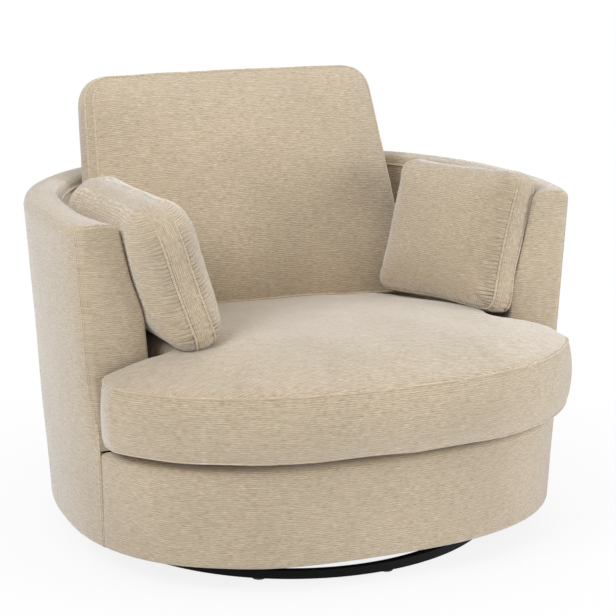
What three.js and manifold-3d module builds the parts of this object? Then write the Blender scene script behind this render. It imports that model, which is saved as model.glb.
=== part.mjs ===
// Swivel cuddle chair: a round upholstered tub on a low steel ring with a ball-race swivel,
// a T-shaped box seat cushion, a loose back cushion and two loose side cushions.
// Millimetres, +Z up, floor at z = 0, the swivel axis is x = y = 0 and the chair faces -Y.

import * as THREE from "three";
import { mergeVertices } from "three/addons/utils/BufferGeometryUtils.js";
import Module from "manifold-3d";

const wasm = await Module();
wasm.setup();

// Tub shell: the plan is a superellipse, deeper behind its widest line than in front of it
const tubHalfWidth = 520;
const tubBackDepth = 542;
const tubFrontDepth = 457;
const widestLineY = -31;
const backRoundness = 2.18;
const frontRoundness = 2.53;
const rimHeight = 658;
const shellBottom = 54;
const floorTaperShare = 0.932;
const bottomRound = 10;
const ledgeHeight = 241;
const armFaceY = -225;
const rimWidth = 69;
const wallSlope = 0.1335;
const rimOuterRound = 20;
const rimInnerRound = 10;

// Upholstery layers
const skin = 5;
const hemWidth = 60;
const innerPad = 25;
const rimPad = 25;
const armPad = 10;
const deckPad = 3.4;
const dustCloth = 2;
const dustClothGap = 2;

// Wooden frame
const railThickness = 25;
const bottomRailWidth = 60;
const seatRailThickness = 30;
const seatRailWidth = 100;
const topRailWidth = 40;
const postDepth = 28;
const postWidth = 45;
const battenWidth = 90;
const springRailWidth = 30;
const springRailHeight = 32;
const springRailSetback = 67;
const backPostTurnShares = [0.1, 0.36, 0.64, 0.9];
const frontPostTurnShares = [-0.36, -0.64];
const armPostSetback = 30;

// Zigzag springs under the seat
const springCount = 4;
const springSpacing = 120;
const springWire = 3.8;
const springWaves = 12;
const springReach = 22;
const springOverhangShare = 0.55;
const springArch = 7;
const springDrop = 13;
const springLead = 12;
const springSides = 5;
const springStepsPerWave = 8;

// Steel base and swivel
const ringRadius = 404;
const ringWidth = 36;
const ringHeight = 18;
const ringCorner = 4;
const glideHeight = 10;
const glideRadius = 14;
const glideEdge = 1;
const glideTopInset = 4;
const glideCount = 10;
const glideTurn = 5.3;
const crossBarWidth = 40;
const crossBarTurn = 45;
const plateThickness = 3;
const plateRadius = 150;
const plateBore = 45;
const raceRadius = 112;
const raceWidth = 24;
const raceHeight = 8;
const ballRadius = 7;
const ballCount = 7;
const ballPlay = 0.3;
const cageThickness = 4;
const cageWidth = 30;
const screwRadius = 6;
const screwHeight = 4;
const screwCircle = 136;
const screwCount = 4;

// Seat cushion
const seatUnderside = 245;
const seatLowerSeam = 264;
const seatUpperSeam = 383;
const seatCrown = 56;
const seatCrownReach = 240;
const seatRearDrop = 28;
const seatRearDropFrom = -170;
const seatRearDropTo = 120;
const seatOverhang = 17;
const seatFrontBulge = 20;
const seatWingBulge = 9;
const seatWingInset = 53;
const seatWingRound = 34;
const seatNotchRound = 12;
const seatWallGap = 6;
const seatArmGap = 4;
const seatFloorReach = 60;

// Back cushion
const backFootInset = 176.5;
const backTopInset = 204;
const backHeight = 497;
const backCorner = 68;
const backFootCorner = 60;
const backBoxing = 58;
const backDrawIn = 10;
const backFootX = -20;
const backFootY = 115;
const backFootZ = 400;
const backLean = 22.5;
const backFrontCrown = 30;
const backCrownReach = 120;
const backRimGap = 1.5;
const backCentreShare = 0.55;
const backLiftTravel = 300;
const backLiftSteps = 12;
const backLiftGap = 1.8;
const backFrontGap = 1;

// Side cushions
const sideLength = 410;
const sideHeight = 294;
const sideCorner = 46;
const sideBoxing = 40;
const sideDrawIn = 9;
const sideCrown = 36;
const sideCrownReach = 95;
const sideBulge = 4;
const leftSideInset = 199;
const leftSideSetback = 133;
const leftSideRise = 30;
const leftSideTurns = { yaw: -5, lean: 19, roll: 0 };
const rightSideInset = 178;
const rightSideSetback = 209;
const rightSideRise = 20;
const rightSideTurns = { yaw: 11.7, lean: 13.6, roll: 2.6 };

// Clearances, cut overrun and mesh fineness
const gap = 0.3;
const overrun = 40;
const planSteps = 56;
const roundSteps = 3;
const cornerSteps = 5;
const halvings = 40;
const seatCurveSteps = 9;
const ringSteps = 48;
const raceSteps = 32;
const roundSides = 8;
const ballBands = 6;
const turnedSides = 12;
const cornerPoints = 1;
const rimSamples = 336;
const leastStep = 0.03;
const crownFullness = 0.8;
const seatFullness = 0.55;
const crownRingShares = [0.07, 0.2, 0.4, 0.65];
const shoulderShare = 0.75;
const postSpreadShare = 1.25;

const degrees = THREE.MathUtils.degToRad;

// Materials

function finish(color, roughness, metalness = 0) {
  return new THREE.MeshStandardMaterial({ color, roughness, metalness });
}

const upholstery = finish(0xc6b496, 0.95);
const lining = finish(0x9c968a, 0.95);
const dustBlack = finish(0x1c1b1a, 0.95);
const plywood = finish(0xb98f5e, 0.7);
const blackSteel = finish(0x0e0e0f, 0.45, 0.6);
const zincSteel = finish(0x9a9da0, 0.35, 0.9);
const springSteel = finish(0x4c4f52, 0.4, 0.9);
const cagePlastic = finish(0xd8d5cc, 0.5);
const glidePlastic = finish(0x151515, 0.6);

// Booleans

function solidOf(geometry) {
  const bare = geometry.clone();
  bare.deleteAttribute("normal");
  bare.deleteAttribute("uv");
  const merged = mergeVertices(bare);
  return new wasm.Manifold(new wasm.Mesh({
    numProp: 3,
    vertProperties: new Float32Array(merged.attributes.position.array),
    triVerts: new Uint32Array(merged.index.array),
  }));
}

function geometryOf(solid) {
  const mesh = solid.getMesh();
  const geometry = new THREE.BufferGeometry();
  geometry.setAttribute("position", new THREE.BufferAttribute(new Float32Array(mesh.vertProperties), 3));
  geometry.setIndex(new THREE.BufferAttribute(new Uint32Array(mesh.triVerts), 1));
  geometry.computeVertexNormals();
  return geometry;
}

function cut(geometry, ...tools) {
  return geometryOf(tools.reduce((solid, tool) => solid.subtract(solidOf(tool)), solidOf(geometry)));
}

function common(geometry, tool) {
  return geometryOf(solidOf(geometry).intersect(solidOf(tool)));
}

function join(...geometries) {
  return geometryOf(geometries.map(solidOf).reduce((solid, next) => solid.add(next)));
}

function block(x0, x1, y0, y1, z0, z1) {
  const box = new THREE.BoxGeometry(x1 - x0, y1 - y0, z1 - z0);
  return box.translate((x0 + x1) / 2, (y0 + y1) / 2, (z0 + z1) / 2);
}

// Shell built from rings of points with equal counts, outward when the rings turn left going up
function loft(rings, looped = false) {
  const count = rings[0].length;
  const points = rings.flat();
  const index = [];
  const bands = looped ? rings.length : rings.length - 1;
  for (let r = 0; r < bands; r += 1) {
    const lower = r * count;
    const upper = ((r + 1) % rings.length) * count;
    for (let i = 0; i < count; i += 1) {
      const j = (i + 1) % count;
      index.push(lower + i, lower + j, upper + j, lower + i, upper + j, upper + i);
    }
  }
  if (!looped) {
    const first = fanCentre(rings[0]);
    const last = fanCentre(rings[rings.length - 1]);
    const top = (rings.length - 1) * count;
    points.push(first, last);
    for (let i = 0; i < count; i += 1) {
      const j = (i + 1) % count;
      index.push(points.length - 2, j, i, points.length - 1, top + i, top + j);
    }
  }
  const geometry = new THREE.BufferGeometry().setFromPoints(points);
  geometry.setIndex(index);
  geometry.computeVertexNormals();
  return geometry;
}

function fanCentre(ring) {
  const sum = ring.reduce((total, point) => total.add(point), new THREE.Vector3());
  return sum.divideScalar(ring.length);
}

// Tub plan at any height, drawn in along its own normal

function tubScale(z) {
  const share = (rimHeight - z) / (rimHeight - shellBottom);
  return 1 - (1 - floorTaperShare) * share;
}

function tubPoint(angle, z, inset) {
  const scale = tubScale(z);
  const back = Math.sin(angle) >= 0;
  const a = tubHalfWidth * scale;
  const b = (back ? tubBackDepth : tubFrontDepth) * scale;
  const n = back ? backRoundness : frontRoundness;
  const c = Math.cos(angle);
  const s = Math.sin(angle);
  const r = (Math.abs(c / a) ** n + Math.abs(s / b) ** n) ** (-1 / n);
  const x = r * c;
  const y = r * s;
  const normal = new THREE.Vector2(
    Math.sign(x) * Math.abs(x / a) ** (n - 1) / a,
    Math.sign(y) * Math.abs(y / b) ** (n - 1) / b,
  ).normalize();
  return new THREE.Vector3(x - normal.x * inset, y + widestLineY - normal.y * inset, z);
}

function wallWidth(z) {
  return rimWidth + (rimHeight - z) * wallSlope;
}

// Angle on the right-hand side at which the drawn-in plan has the given y
function tubAngleAtY(y, z, inset) {
  let low = -Math.PI / 2;
  let high = Math.PI / 2;
  for (let i = 0; i < halvings; i += 1) {
    const middle = (low + high) / 2;
    if (tubPoint(middle, z, inset).y < y) {
      low = middle;
    } else {
      high = middle;
    }
  }
  return low;
}

function tubCurve(from, to, steps, z, inset) {
  return Array.from({ length: steps + 1 }, (_, i) => {
    const point = tubPoint(from + ((to - from) * i) / steps, z, inset);
    return new THREE.Vector2(point.x, point.y);
  });
}

// Closed band whose section is a list of [inset, z] corners that climb on the outside
function band(section) {
  const rings = [];
  for (let i = planSteps; i > 0; i -= 1) {
    const angle = (i / planSteps) * 2 * Math.PI;
    rings.push(section.map(([inset, z]) => tubPoint(angle, z, inset)));
  }
  return loft(rings, true);
}

function planPlate(z0, z1, insetAt) {
  const rings = [z0, z1].map((z) => Array.from({ length: planSteps }, (_, i) =>
    tubPoint((i / planSteps) * 2 * Math.PI, z, insetAt(z))));
  return loft(rings);
}

function arcSection(insetCentre, zCentre, radius, from, to) {
  return Array.from({ length: roundSteps + 1 }, (_, i) => {
    const angle = degrees(from + ((to - from) * i) / roundSteps);
    return [insetCentre - radius * Math.cos(angle), zCentre + radius * Math.sin(angle)];
  });
}

// Everything in front of the arm faces, with the given setback behind them
function frontRoom(setback, bottom) {
  const reach = tubHalfWidth + overrun;
  const front = widestLineY - tubFrontDepth - 2 * overrun;
  return block(-reach, reach, front, armFaceY + setback, bottom, rimHeight + overrun);
}

// Covers

function outerCover() {
  const inner = bottomRound - skin;
  const top = rimHeight - rimPad - gap;
  const section = [
    [hemWidth, shellBottom + skin],
    [hemWidth, shellBottom],
    ...arcSection(bottomRound, shellBottom + bottomRound, bottomRound, -90, 0),
    [0, top],
    [skin, top],
    ...arcSection(bottomRound, shellBottom + bottomRound, inner, 0, -90),
  ];
  return cut(band(section), frontRoom(armPad + gap, ledgeHeight));
}

function rimCover() {
  const bottom = rimHeight - rimPad;
  const inside = wallWidth(bottom);
  const section = [
    [inside, bottom],
    [0, bottom],
    ...arcSection(rimOuterRound, rimHeight - rimOuterRound, rimOuterRound, 0, 90),
    ...arcSection(rimWidth - rimInnerRound, rimHeight - rimInnerRound, rimInnerRound, 90, 180),
  ];
  return cut(band(section), frontRoom(armPad + gap, shellBottom));
}

function innerCover() {
  const top = rimHeight - rimPad - gap;
  const bottom = ledgeHeight + gap;
  const section = [
    [wallWidth(bottom), bottom],
    [wallWidth(bottom) - innerPad, bottom],
    [wallWidth(top) - innerPad, top],
    [wallWidth(top), top],
  ];
  return cut(band(section), frontRoom(armPad + gap, shellBottom));
}

// The space that the padded wall takes, grown all over
function wallRoom(grow) {
  const bottom = shellBottom;
  const top = rimHeight + grow;
  const section = [
    [wallWidth(bottom) + grow, bottom], [0, bottom], [0, top], [rimWidth + grow, top]];
  return cut(band(section), frontRoom(-grow, ledgeHeight));
}

function armFront(hand) {
  const bottom = ledgeHeight + gap;
  const section = [
    [wallWidth(bottom), bottom],
    [0, bottom],
    ...arcSection(rimOuterRound, rimHeight - rimOuterRound, rimOuterRound, 0, 90),
    ...arcSection(rimWidth - rimInnerRound, rimHeight - rimInnerRound, rimInnerRound, 90, 180),
  ];
  const reach = tubHalfWidth + overrun;
  const [x0, x1] = hand > 0 ? [0, reach] : [-reach, 0];
  const slab = block(x0, x1, armFaceY, armFaceY + armPad, shellBottom, rimHeight + overrun);
  return common(band(section), slab);
}

function deckCloth() {
  const z0 = ledgeHeight + gap;
  const z1 = z0 + deckPad;
  const seatWell = planPlate(z0, z1, (z) => wallWidth(z) + gap);
  const whole = planPlate(z0, z1, () => 0);
  const reach = tubHalfWidth + overrun;
  const back = widestLineY + tubBackDepth + overrun;
  const behind = block(-reach, reach, armFaceY - gap, back, shellBottom, rimHeight);
  return join(seatWell, cut(whole, behind));
}

function dustCover() {
  const top = shellBottom + skin;
  const sheet = planPlate(top - dustCloth, top, () => hemWidth + gap);
  const bore = plateRadius + dustClothGap;
  const hole = new THREE.CylinderGeometry(bore, bore, skin + overrun, raceSteps);
  return cut(sheet, hole.rotateX(Math.PI / 2).translate(0, 0, shellBottom));
}

// Wooden frame

const frameUnderside = shellBottom + skin + gap;
const bottomRailTop = frameUnderside + railThickness;
const seatRailTop = ledgeHeight;
const seatRailBottom = seatRailTop - seatRailThickness;
const topRailTop = rimHeight - rimPad - gap;
const postFace = skin + 2 * gap;
const seatRailOuter = postFace + postDepth + gap;
const seatRailInner = seatRailOuter + seatRailWidth;
const springRailInset = seatRailInner + springRailSetback;
const frontSpringRailY = tubPoint(-Math.PI / 2, seatRailTop, springRailInset).y;
const backSpringRailY = tubPoint(Math.PI / 2, seatRailTop, springRailInset).y;

function bottomFrame() {
  const outer = bottomRound;
  const inner = bottomRound + bottomRailWidth;
  const ring = band([
    [inner, frameUnderside], [outer, frameUnderside], [outer, bottomRailTop], [inner, bottomRailTop]]);
  const reach = tubHalfWidth + tubBackDepth;
  const inside = planPlate(frameUnderside, bottomRailTop, () => inner - 2 * gap);
  const half = battenWidth / 2;
  const lengthwise = common(inside, block(-half, half, -reach, reach, frameUnderside, bottomRailTop));
  const across = common(inside, block(-reach, reach, -half, half, frameUnderside, bottomRailTop));
  return join(ring, lengthwise, across);
}

function seatRail() {
  return band([
    [seatRailInner, seatRailBottom], [seatRailOuter, seatRailBottom],
    [seatRailOuter, seatRailTop], [seatRailInner, seatRailTop]]);
}

function topRail() {
  const outer = postFace;
  const inner = outer + topRailWidth;
  const bottom = topRailTop - railThickness;
  const rail = band([[inner, bottom], [outer, bottom], [outer, topRailTop], [inner, topRailTop]]);
  return cut(rail, frontRoom(armPad + 2 * gap, shellBottom));
}

function post(angle, bottom, top) {
  const rings = [bottom, top].map((z) => {
    const outside = tubPoint(angle, z, postFace);
    const inside = tubPoint(angle, z, postFace + postDepth);
    const along = outside.clone().sub(inside).normalize();
    const side = new THREE.Vector3(-along.y, along.x, 0).multiplyScalar(postWidth / 2);
    // The flat outer face stays inside the curved skin at its two edges
    const sag = chordSag(angle, z);
    const back = along.multiplyScalar(sag);
    return [
      inside.clone().sub(side), outside.clone().sub(side).sub(back),
      outside.clone().add(side).sub(back), inside.clone().add(side)];
  });
  return loft(rings);
}

// How far the shell bends inward of its tangent at half a post's width to either side
function chordSag(angle, z) {
  const here = tubPoint(angle, z, 0);
  const normal = here.clone().sub(tubPoint(angle, z, postDepth)).normalize();
  const turn = (postWidth / 2 / tubHalfWidth) * postSpreadShare;
  return Math.max(...[-turn, turn].map((step) =>
    here.clone().sub(tubPoint(angle + step, z, 0)).dot(normal))) + gap;
}

function springRail(y) {
  const half = springRailWidth / 2;
  const z0 = seatRailTop - springRailHeight;
  const bar = block(-tubHalfWidth, tubHalfWidth, y - half, y + half, z0, seatRailTop);
  return common(bar, planPlate(z0 - gap, seatRailTop + gap, () => seatRailInner + gap));
}

// Zigzag springs

class ZigzagLine extends THREE.Curve {
  constructor(y0, y1, z) {
    super();
    this.y0 = y0;
    this.y1 = y1;
    this.z = z;
  }

  getPoint(t, target = new THREE.Vector3()) {
    const turn = t * springWaves * 2 * Math.PI;
    const pitch = (this.y1 - this.y0) / springWaves;
    const x = springReach * Math.sin(turn);
    const y = this.y0 + t * (this.y1 - this.y0) + (springOverhangShare * pitch * Math.sin(2 * turn)) / 4;
    return target.set(x, y, this.z + springArch * Math.sin(Math.PI * t));
  }
}

function springPath() {
  const z = seatRailTop - springDrop;
  const y0 = frontSpringRailY + springRailWidth / 2 + gap;
  const y1 = backSpringRailY - springRailWidth / 2 - gap;
  const line = new ZigzagLine(y0 + springLead, y1 - springLead, z);
  const points = line.getPoints(springWaves * springStepsPerWave);
  return [new THREE.Vector3(0, y0, z), ...points, new THREE.Vector3(0, y1, z)];
}

// Tube whose rings stay square to the wire
function wireTube(points, radius) {
  const up = new THREE.Vector3(0, 0, 1);
  const rings = points.map((point, i) => {
    const before = points[Math.max(i - 1, 0)];
    const after = points[Math.min(i + 1, points.length - 1)];
    const ends = i === 0 || i === points.length - 1;
    const ahead = ends ? new THREE.Vector3(0, 1, 0) : after.clone().sub(before).normalize();
    const side = new THREE.Vector3().crossVectors(up, ahead).normalize();
    const over = new THREE.Vector3().crossVectors(ahead, side);
    return Array.from({ length: springSides }, (_, k) => {
      const angle = (k / springSides) * 2 * Math.PI;
      return point.clone()
        .addScaledVector(over, radius * Math.cos(angle))
        .addScaledVector(side, -radius * Math.sin(angle));
    });
  });
  return loft(rings);
}

function leastWireGap(points, radius) {
  let least = Infinity;
  const apart = springStepsPerWave / 2;
  for (let i = 0; i < points.length; i += 1) {
    for (let j = i + apart; j < points.length; j += 1) {
      least = Math.min(least, points[i].distanceTo(points[j]) - 2 * radius);
    }
  }
  return least;
}

// Base and swivel

const ringTop = glideHeight + ringHeight;
const lowerPlateBottom = ringTop + gap;
const lowerPlateTop = lowerPlateBottom + plateThickness;
const upperPlateTop = frameUnderside - gap;
const upperPlateBottom = upperPlateTop - plateThickness;
const ballHeight = (lowerPlateTop + upperPlateBottom) / 2;
// A round of few sides is made larger, so that its flats clear the ball
const ballRoom = (ballRadius + ballPlay) / Math.cos(Math.PI / roundSides);

function roundedRing(inner, outer, z0, z1, corner) {
  const shape = new THREE.Path();
  shape.moveTo(inner + corner, z0);
  shape.lineTo(outer - corner, z0);
  shape.absarc(outer - corner, z0 + corner, corner, -Math.PI / 2, 0);
  shape.absarc(outer - corner, z1 - corner, corner, 0, Math.PI / 2);
  shape.absarc(inner + corner, z1 - corner, corner, Math.PI / 2, Math.PI);
  shape.absarc(inner + corner, z0 + corner, corner, Math.PI, 1.5 * Math.PI);
  return latheUp(shape.getPoints(cornerPoints), ringSteps);
}

// Revolve a closed [radius, height] profile about Z
function latheUp(profile, steps) {
  const clean = profile.filter((p, i) => i === 0 || p.distanceTo(profile[i - 1]) > leastStep);
  if (clean[0].distanceTo(clean[clean.length - 1]) > leastStep) {
    clean.push(clean[0].clone());
  } else {
    clean[clean.length - 1] = clean[0].clone();
  }
  return geometryOf(solidOf(new THREE.LatheGeometry(clean, steps).rotateX(Math.PI / 2)));
}

function profile(...pairs) {
  return pairs.map(([r, z]) => new THREE.Vector2(r, z));
}

function baseRing() {
  return roundedRing(ringRadius - ringWidth, ringRadius, glideHeight, ringTop, ringCorner);
}

function crossBar(length0, length1) {
  const half = crossBarWidth / 2;
  const bar = block(length0, length1, -half, half, glideHeight, ringTop);
  const inside = ringRadius - ringWidth - gap;
  const well = new THREE.CylinderGeometry(inside, inside, ringHeight + 2 * overrun, ringSteps)
    .rotateX(Math.PI / 2).translate(0, 0, glideHeight);
  return common(bar, well).rotateZ(degrees(crossBarTurn));
}

function racePlate(outward) {
  const plate = outward > 0 ? lowerPlateBottom : upperPlateTop;
  const face = plate + outward * plateThickness;
  const race = face + outward * raceHeight;
  const inner = raceRadius - raceWidth / 2;
  const outer = raceRadius + raceWidth / 2;
  const ring = profile(
    [plateBore, plate], [plateRadius, plate], [plateRadius, face], [outer, face],
    [outer, race], [inner, race], [inner, face], [plateBore, face]);
  const groove = new THREE.TorusGeometry(raceRadius, ballRoom, roundSides, raceSteps)
    .translate(0, 0, ballHeight);
  return cut(latheUp(outward > 0 ? ring : ring.reverse(), raceSteps), groove);
}

function ballPlace(i) {
  const angle = (i / ballCount) * 2 * Math.PI;
  return new THREE.Vector3(raceRadius * Math.cos(angle), raceRadius * Math.sin(angle), ballHeight);
}

function ball() {
  return new THREE.SphereGeometry(ballRadius, roundSides, ballBands);
}

function ballCage() {
  const z0 = ballHeight - cageThickness / 2;
  const z1 = ballHeight + cageThickness / 2;
  const inner = raceRadius - cageWidth / 2;
  const outer = raceRadius + cageWidth / 2;
  const ring = latheUp(profile([inner, z0], [outer, z0], [outer, z1], [inner, z1]), raceSteps);
  const pockets = Array.from({ length: ballCount }, (_, i) => {
    const pocket = new THREE.CylinderGeometry(ballRoom, ballRoom, cageThickness + overrun, roundSides);
    return pocket.rotateX(Math.PI / 2).translate(...ballPlace(i).toArray());
  });
  return cut(ring, ...pockets);
}

function glide() {
  const top = glideHeight - gap;
  const outline = profile(
    [0, 0], [glideRadius - glideEdge, 0], [glideRadius, glideTopInset], [glideRadius - glideTopInset, top],
    [0, top]);
  return new THREE.LatheGeometry(outline, turnedSides).rotateX(Math.PI / 2);
}

function screw(direction) {
  const head = new THREE.CylinderGeometry(screwRadius, screwRadius, screwHeight, turnedSides);
  return head.rotateX(Math.PI / 2).translate(0, 0, (direction * screwHeight) / 2);
}

// Cushions: an outline, a boxing between two drawn-in seams and a crown on both faces

function outlineDistance(point, outline) {
  let least = Infinity;
  const line = new THREE.Line3();
  const flat = new THREE.Vector3(point.x, point.y, 0);
  const nearest = new THREE.Vector3();
  for (let i = 0; i < outline.length; i += 1) {
    const j = (i + 1) % outline.length;
    line.start.set(outline[i].x, outline[i].y, 0);
    line.end.set(outline[j].x, outline[j].y, 0);
    line.closestPointToPoint(flat, true, nearest);
    least = Math.min(least, nearest.distanceTo(flat));
  }
  return least;
}

function crownShare(distance, reach, fullness) {
  const share = Math.min(distance / reach, 1);
  return Math.sin((share * Math.PI) / 2) ** fullness;
}

// Rings run from the lower face's middle out to the boxing and back over the upper face
function cushionForm({ outline, centre, lower, upper, bulgeAt, crownAt, floorAt }) {
  const shrink = (point, share) => point.clone().lerp(centre, share);
  const face = (heightAt) => crownRingShares.map((share) => outline.map((point) => {
    const moved = shrink(point, share);
    return new THREE.Vector3(moved.x, moved.y, heightAt(moved, outlineDistance(moved, outline)));
  }));
  const side = (height, share) => outline.map((point, i) => {
    const out = share * bulgeAt(point);
    const before = outline[(i + outline.length - 1) % outline.length];
    const after = outline[(i + 1) % outline.length];
    const along = after.clone().sub(before).normalize();
    return new THREE.Vector3(point.x + along.y * out, point.y - along.x * out, height);
  });
  const lowerRings = face(floorAt).reverse();
  const upperRings = face(crownAt);
  const height = upper - lower;
  return loft([
    ...lowerRings,
    side(lower, 0),
    side(lower + height / 4, shoulderShare),
    side(lower + height / 2, 1),
    side(upper - height / 4, shoulderShare),
    side(upper, 0),
    ...upperRings,
  ]);
}

function outlinePoints(path) {
  const points = path.getPoints(cornerSteps);
  return points.filter((point, i) => point.distanceTo(points[(i + 1) % points.length]) > gap);
}

// Seat cushion outline: the tub's front curve, a wing in front of each arm and the neck between the walls
const seatWingHalfWidth = tubHalfWidth - seatWingInset;

function seatOutline(grow) {
  const wingY = armFaceY - seatArmGap + grow;
  const wingX = seatWingHalfWidth + grow;
  const overhang = -seatOverhang - grow;
  const turnY = wingY - seatWingRound;
  const frontEnd = tubAngleAtY(turnY, seatUpperSeam, overhang);
  const front = tubCurve(-Math.PI / 2, frontEnd, seatCurveSteps, seatUpperSeam, overhang);
  const wing = front.filter((point) => point.x < wingX);
  const neckInset = wallWidth(seatUnderside) + seatWallGap - grow;
  const neckStart = tubAngleAtY(wingY + seatNotchRound, seatUnderside, neckInset);
  const neck = tubCurve(neckStart, Math.PI / 2, seatCurveSteps, seatUnderside, neckInset);
  const right = [
    ...wing,
    ...corner(new THREE.Vector2(wingX, turnY), new THREE.Vector2(wingX, wingY),
      new THREE.Vector2(wingX - seatWingRound, wingY)),
    ...corner(new THREE.Vector2(neck[0].x + seatNotchRound, wingY), new THREE.Vector2(neck[0].x, wingY),
      neck[0]),
    ...neck.slice(1),
  ];
  const left = right.slice(1, -1).reverse().map((point) => new THREE.Vector2(-point.x, point.y));
  return [...right, ...left];
}

function corner(start, control, end) {
  return new THREE.QuadraticBezierCurve(start, control, end).getPoints(cornerSteps - 1);
}

function seatCushion(grow = 0) {
  return cushionForm({
    outline: seatOutline(grow),
    centre: new THREE.Vector2(0, armFaceY - seatArmGap - seatWingRound),
    lower: seatLowerSeam,
    upper: seatUpperSeam + grow,
    bulgeAt: (point) => {
      const forward = (armFaceY - seatArmGap - seatWingRound - point.y) / seatWingRound;
      const outward = Math.abs(point.x) / seatWingHalfWidth;
      const front = THREE.MathUtils.lerp(seatFrontBulge, seatWingBulge, outward);
      return THREE.MathUtils.lerp(seatWallGap / 2, front, THREE.MathUtils.clamp(forward, 0, 1));
    },
    crownAt: (point, d) => {
      const rear = THREE.MathUtils.smoothstep(point.y, seatRearDropFrom, seatRearDropTo);
      const crown = seatCrown - seatRearDrop * rear;
      return seatUpperSeam + grow + crown * crownShare(d, seatCrownReach, seatFullness);
    },
    floorAt: (point, d) => seatLowerSeam
      - (seatLowerSeam - seatUnderside) * Math.min(1, d / seatFloorReach),
  });
}

// Frame of the back cushion: local x across, y up along its lean, z toward the front of the chair
function backFrame() {
  const lean = degrees(backLean);
  const across = new THREE.Vector3(1, 0, 0);
  const upward = new THREE.Vector3(0, Math.sin(lean), Math.cos(lean));
  const forward = new THREE.Vector3().crossVectors(across, upward);
  const matrix = new THREE.Matrix4().makeBasis(across, upward, forward);
  return matrix.setPosition(backFootX, backFootY, backFootZ);
}

// The rim's inner edge behind the back cushion, in the cushion's own frame
function rimEdge() {
  const inverse = backFrame().invert();
  return Array.from({ length: rimSamples + 1 }, (_, i) =>
    tubPoint((i / rimSamples) * Math.PI, rimHeight - rimInnerRound, rimWidth).applyMatrix4(inverse));
}

function backCushion() {
  const foot = tubHalfWidth - backFootInset;
  const top = tubHalfWidth - backTopInset;
  const middle = (foot + top) / 2 - backDrawIn;
  const path = new THREE.Path();
  path.moveTo(0, 0);
  path.lineTo(foot - backFootCorner, 0);
  path.quadraticCurveTo(foot, 0, foot, backFootCorner);
  path.quadraticCurveTo(middle, backHeight / 2, top, backHeight - backCorner);
  path.quadraticCurveTo(top, backHeight, top - backCorner, backHeight);
  path.quadraticCurveTo(0, backHeight + backDrawIn, -top + backCorner, backHeight);
  path.quadraticCurveTo(-top, backHeight, -top, backHeight - backCorner);
  path.quadraticCurveTo(-middle, backHeight / 2, -foot, backFootCorner);
  path.quadraticCurveTo(-foot, 0, -foot + backFootCorner, 0);
  const edge = rimEdge();
  const depthAt = (x) => -edge.reduce((nearest, point) =>
    (Math.abs(point.x - x) < Math.abs(nearest.x - x) ? point : nearest)).z;
  const form = cushionForm({
    outline: outlinePoints(path),
    centre: new THREE.Vector2(0, backHeight * backCentreShare),
    lower: -backBoxing,
    upper: 0,
    bulgeAt: () => 0,
    crownAt: (point, d) => backFrontCrown * crownShare(d, backCrownReach, crownFullness),
    floorAt: (point, d) => {
      const full = depthAt(point.x) - backRimGap - backBoxing;
      return -backBoxing - Math.max(0, full) * crownShare(d, backCrownReach, crownFullness);
    },
  });
  return form.applyMatrix4(backFrame());
}

// The padded wall as the back cushion meets it on its way up along its lean
function wallOnTheWay() {
  return Array.from({ length: backLiftSteps + 1 }, (_, i) => {
    const lift = (backLiftTravel * i) / backLiftSteps;
    const lean = degrees(backLean);
    return wallRoom(backLiftGap).translate(0, -lift * Math.sin(lean), -lift * Math.cos(lean));
  });
}

// The room that the back cushion's front sweeps as it slides up along its lean
function backFrontRoom() {
  const reach = tubHalfWidth;
  const top = backHeight + backLiftTravel;
  const prism = block(-reach, reach, -backHeight, top, -backHeight, backFrontCrown + backFrontGap);
  return prism.applyMatrix4(backFrame());
}

function sideCushion() {
  const x = sideLength / 2;
  const y = sideHeight / 2;
  const path = new THREE.Path();
  path.moveTo(-x + sideCorner, -y);
  path.quadraticCurveTo(0, -y + sideDrawIn, x - sideCorner, -y);
  path.quadraticCurveTo(x, -y, x, -y + sideCorner);
  path.quadraticCurveTo(x - sideDrawIn, 0, x, y - sideCorner);
  path.quadraticCurveTo(x, y, x - sideCorner, y);
  path.quadraticCurveTo(0, y - sideDrawIn, -x + sideCorner, y);
  path.quadraticCurveTo(-x, y, -x, y - sideCorner);
  path.quadraticCurveTo(-x + sideDrawIn, 0, -x, -y + sideCorner);
  path.quadraticCurveTo(-x, -y, -x + sideCorner, -y);
  const crown = (d) => sideCrown * crownShare(d, sideCrownReach, crownFullness);
  return cushionForm({
    outline: outlinePoints(path),
    centre: new THREE.Vector2(0, 0),
    lower: -sideBoxing / 2,
    upper: sideBoxing / 2,
    bulgeAt: () => sideBulge,
    crownAt: (point, d) => sideBoxing / 2 + crown(d),
    floorAt: (point, d) => -sideBoxing / 2 - crown(d),
  });
}

// Local x along the cushion toward the chair's front, y up it and z toward the sitter
function sideFrame(hand, inset, setback, rise, { yaw, lean, roll }) {
  const x = hand * (tubHalfWidth - inset);
  const y = armFaceY + setback;
  const z = seatUpperSeam + sideHeight / 2 + rise;
  const turn = degrees(yaw);
  const tilt = degrees(lean);
  const length = new THREE.Vector3(hand * Math.sin(turn), -Math.cos(turn), 0);
  const inward = new THREE.Vector3(-hand * Math.cos(turn), -Math.sin(turn), 0);
  const up = new THREE.Vector3(0, 0, 1);
  const height = up.clone().multiplyScalar(Math.cos(tilt)).addScaledVector(inward, -Math.sin(tilt));
  const normal = new THREE.Vector3().crossVectors(length, height);
  const frame = new THREE.Matrix4().makeBasis(length, height, normal).setPosition(x, y, z);
  return frame.multiply(new THREE.Matrix4().makeRotationZ(degrees(roll)));
}

function placedSideCushion(frame) {
  return cut(sideCushion().applyMatrix4(frame), seatCushion(gap), backFrontRoom(), wallRoom(gap));
}

// Assembly

const chair = new THREE.Group();

function add(name, geometry, material) {
  const mesh = new THREE.Mesh(geometry, material);
  mesh.name = name;
  chair.add(mesh);
  return mesh;
}

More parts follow.
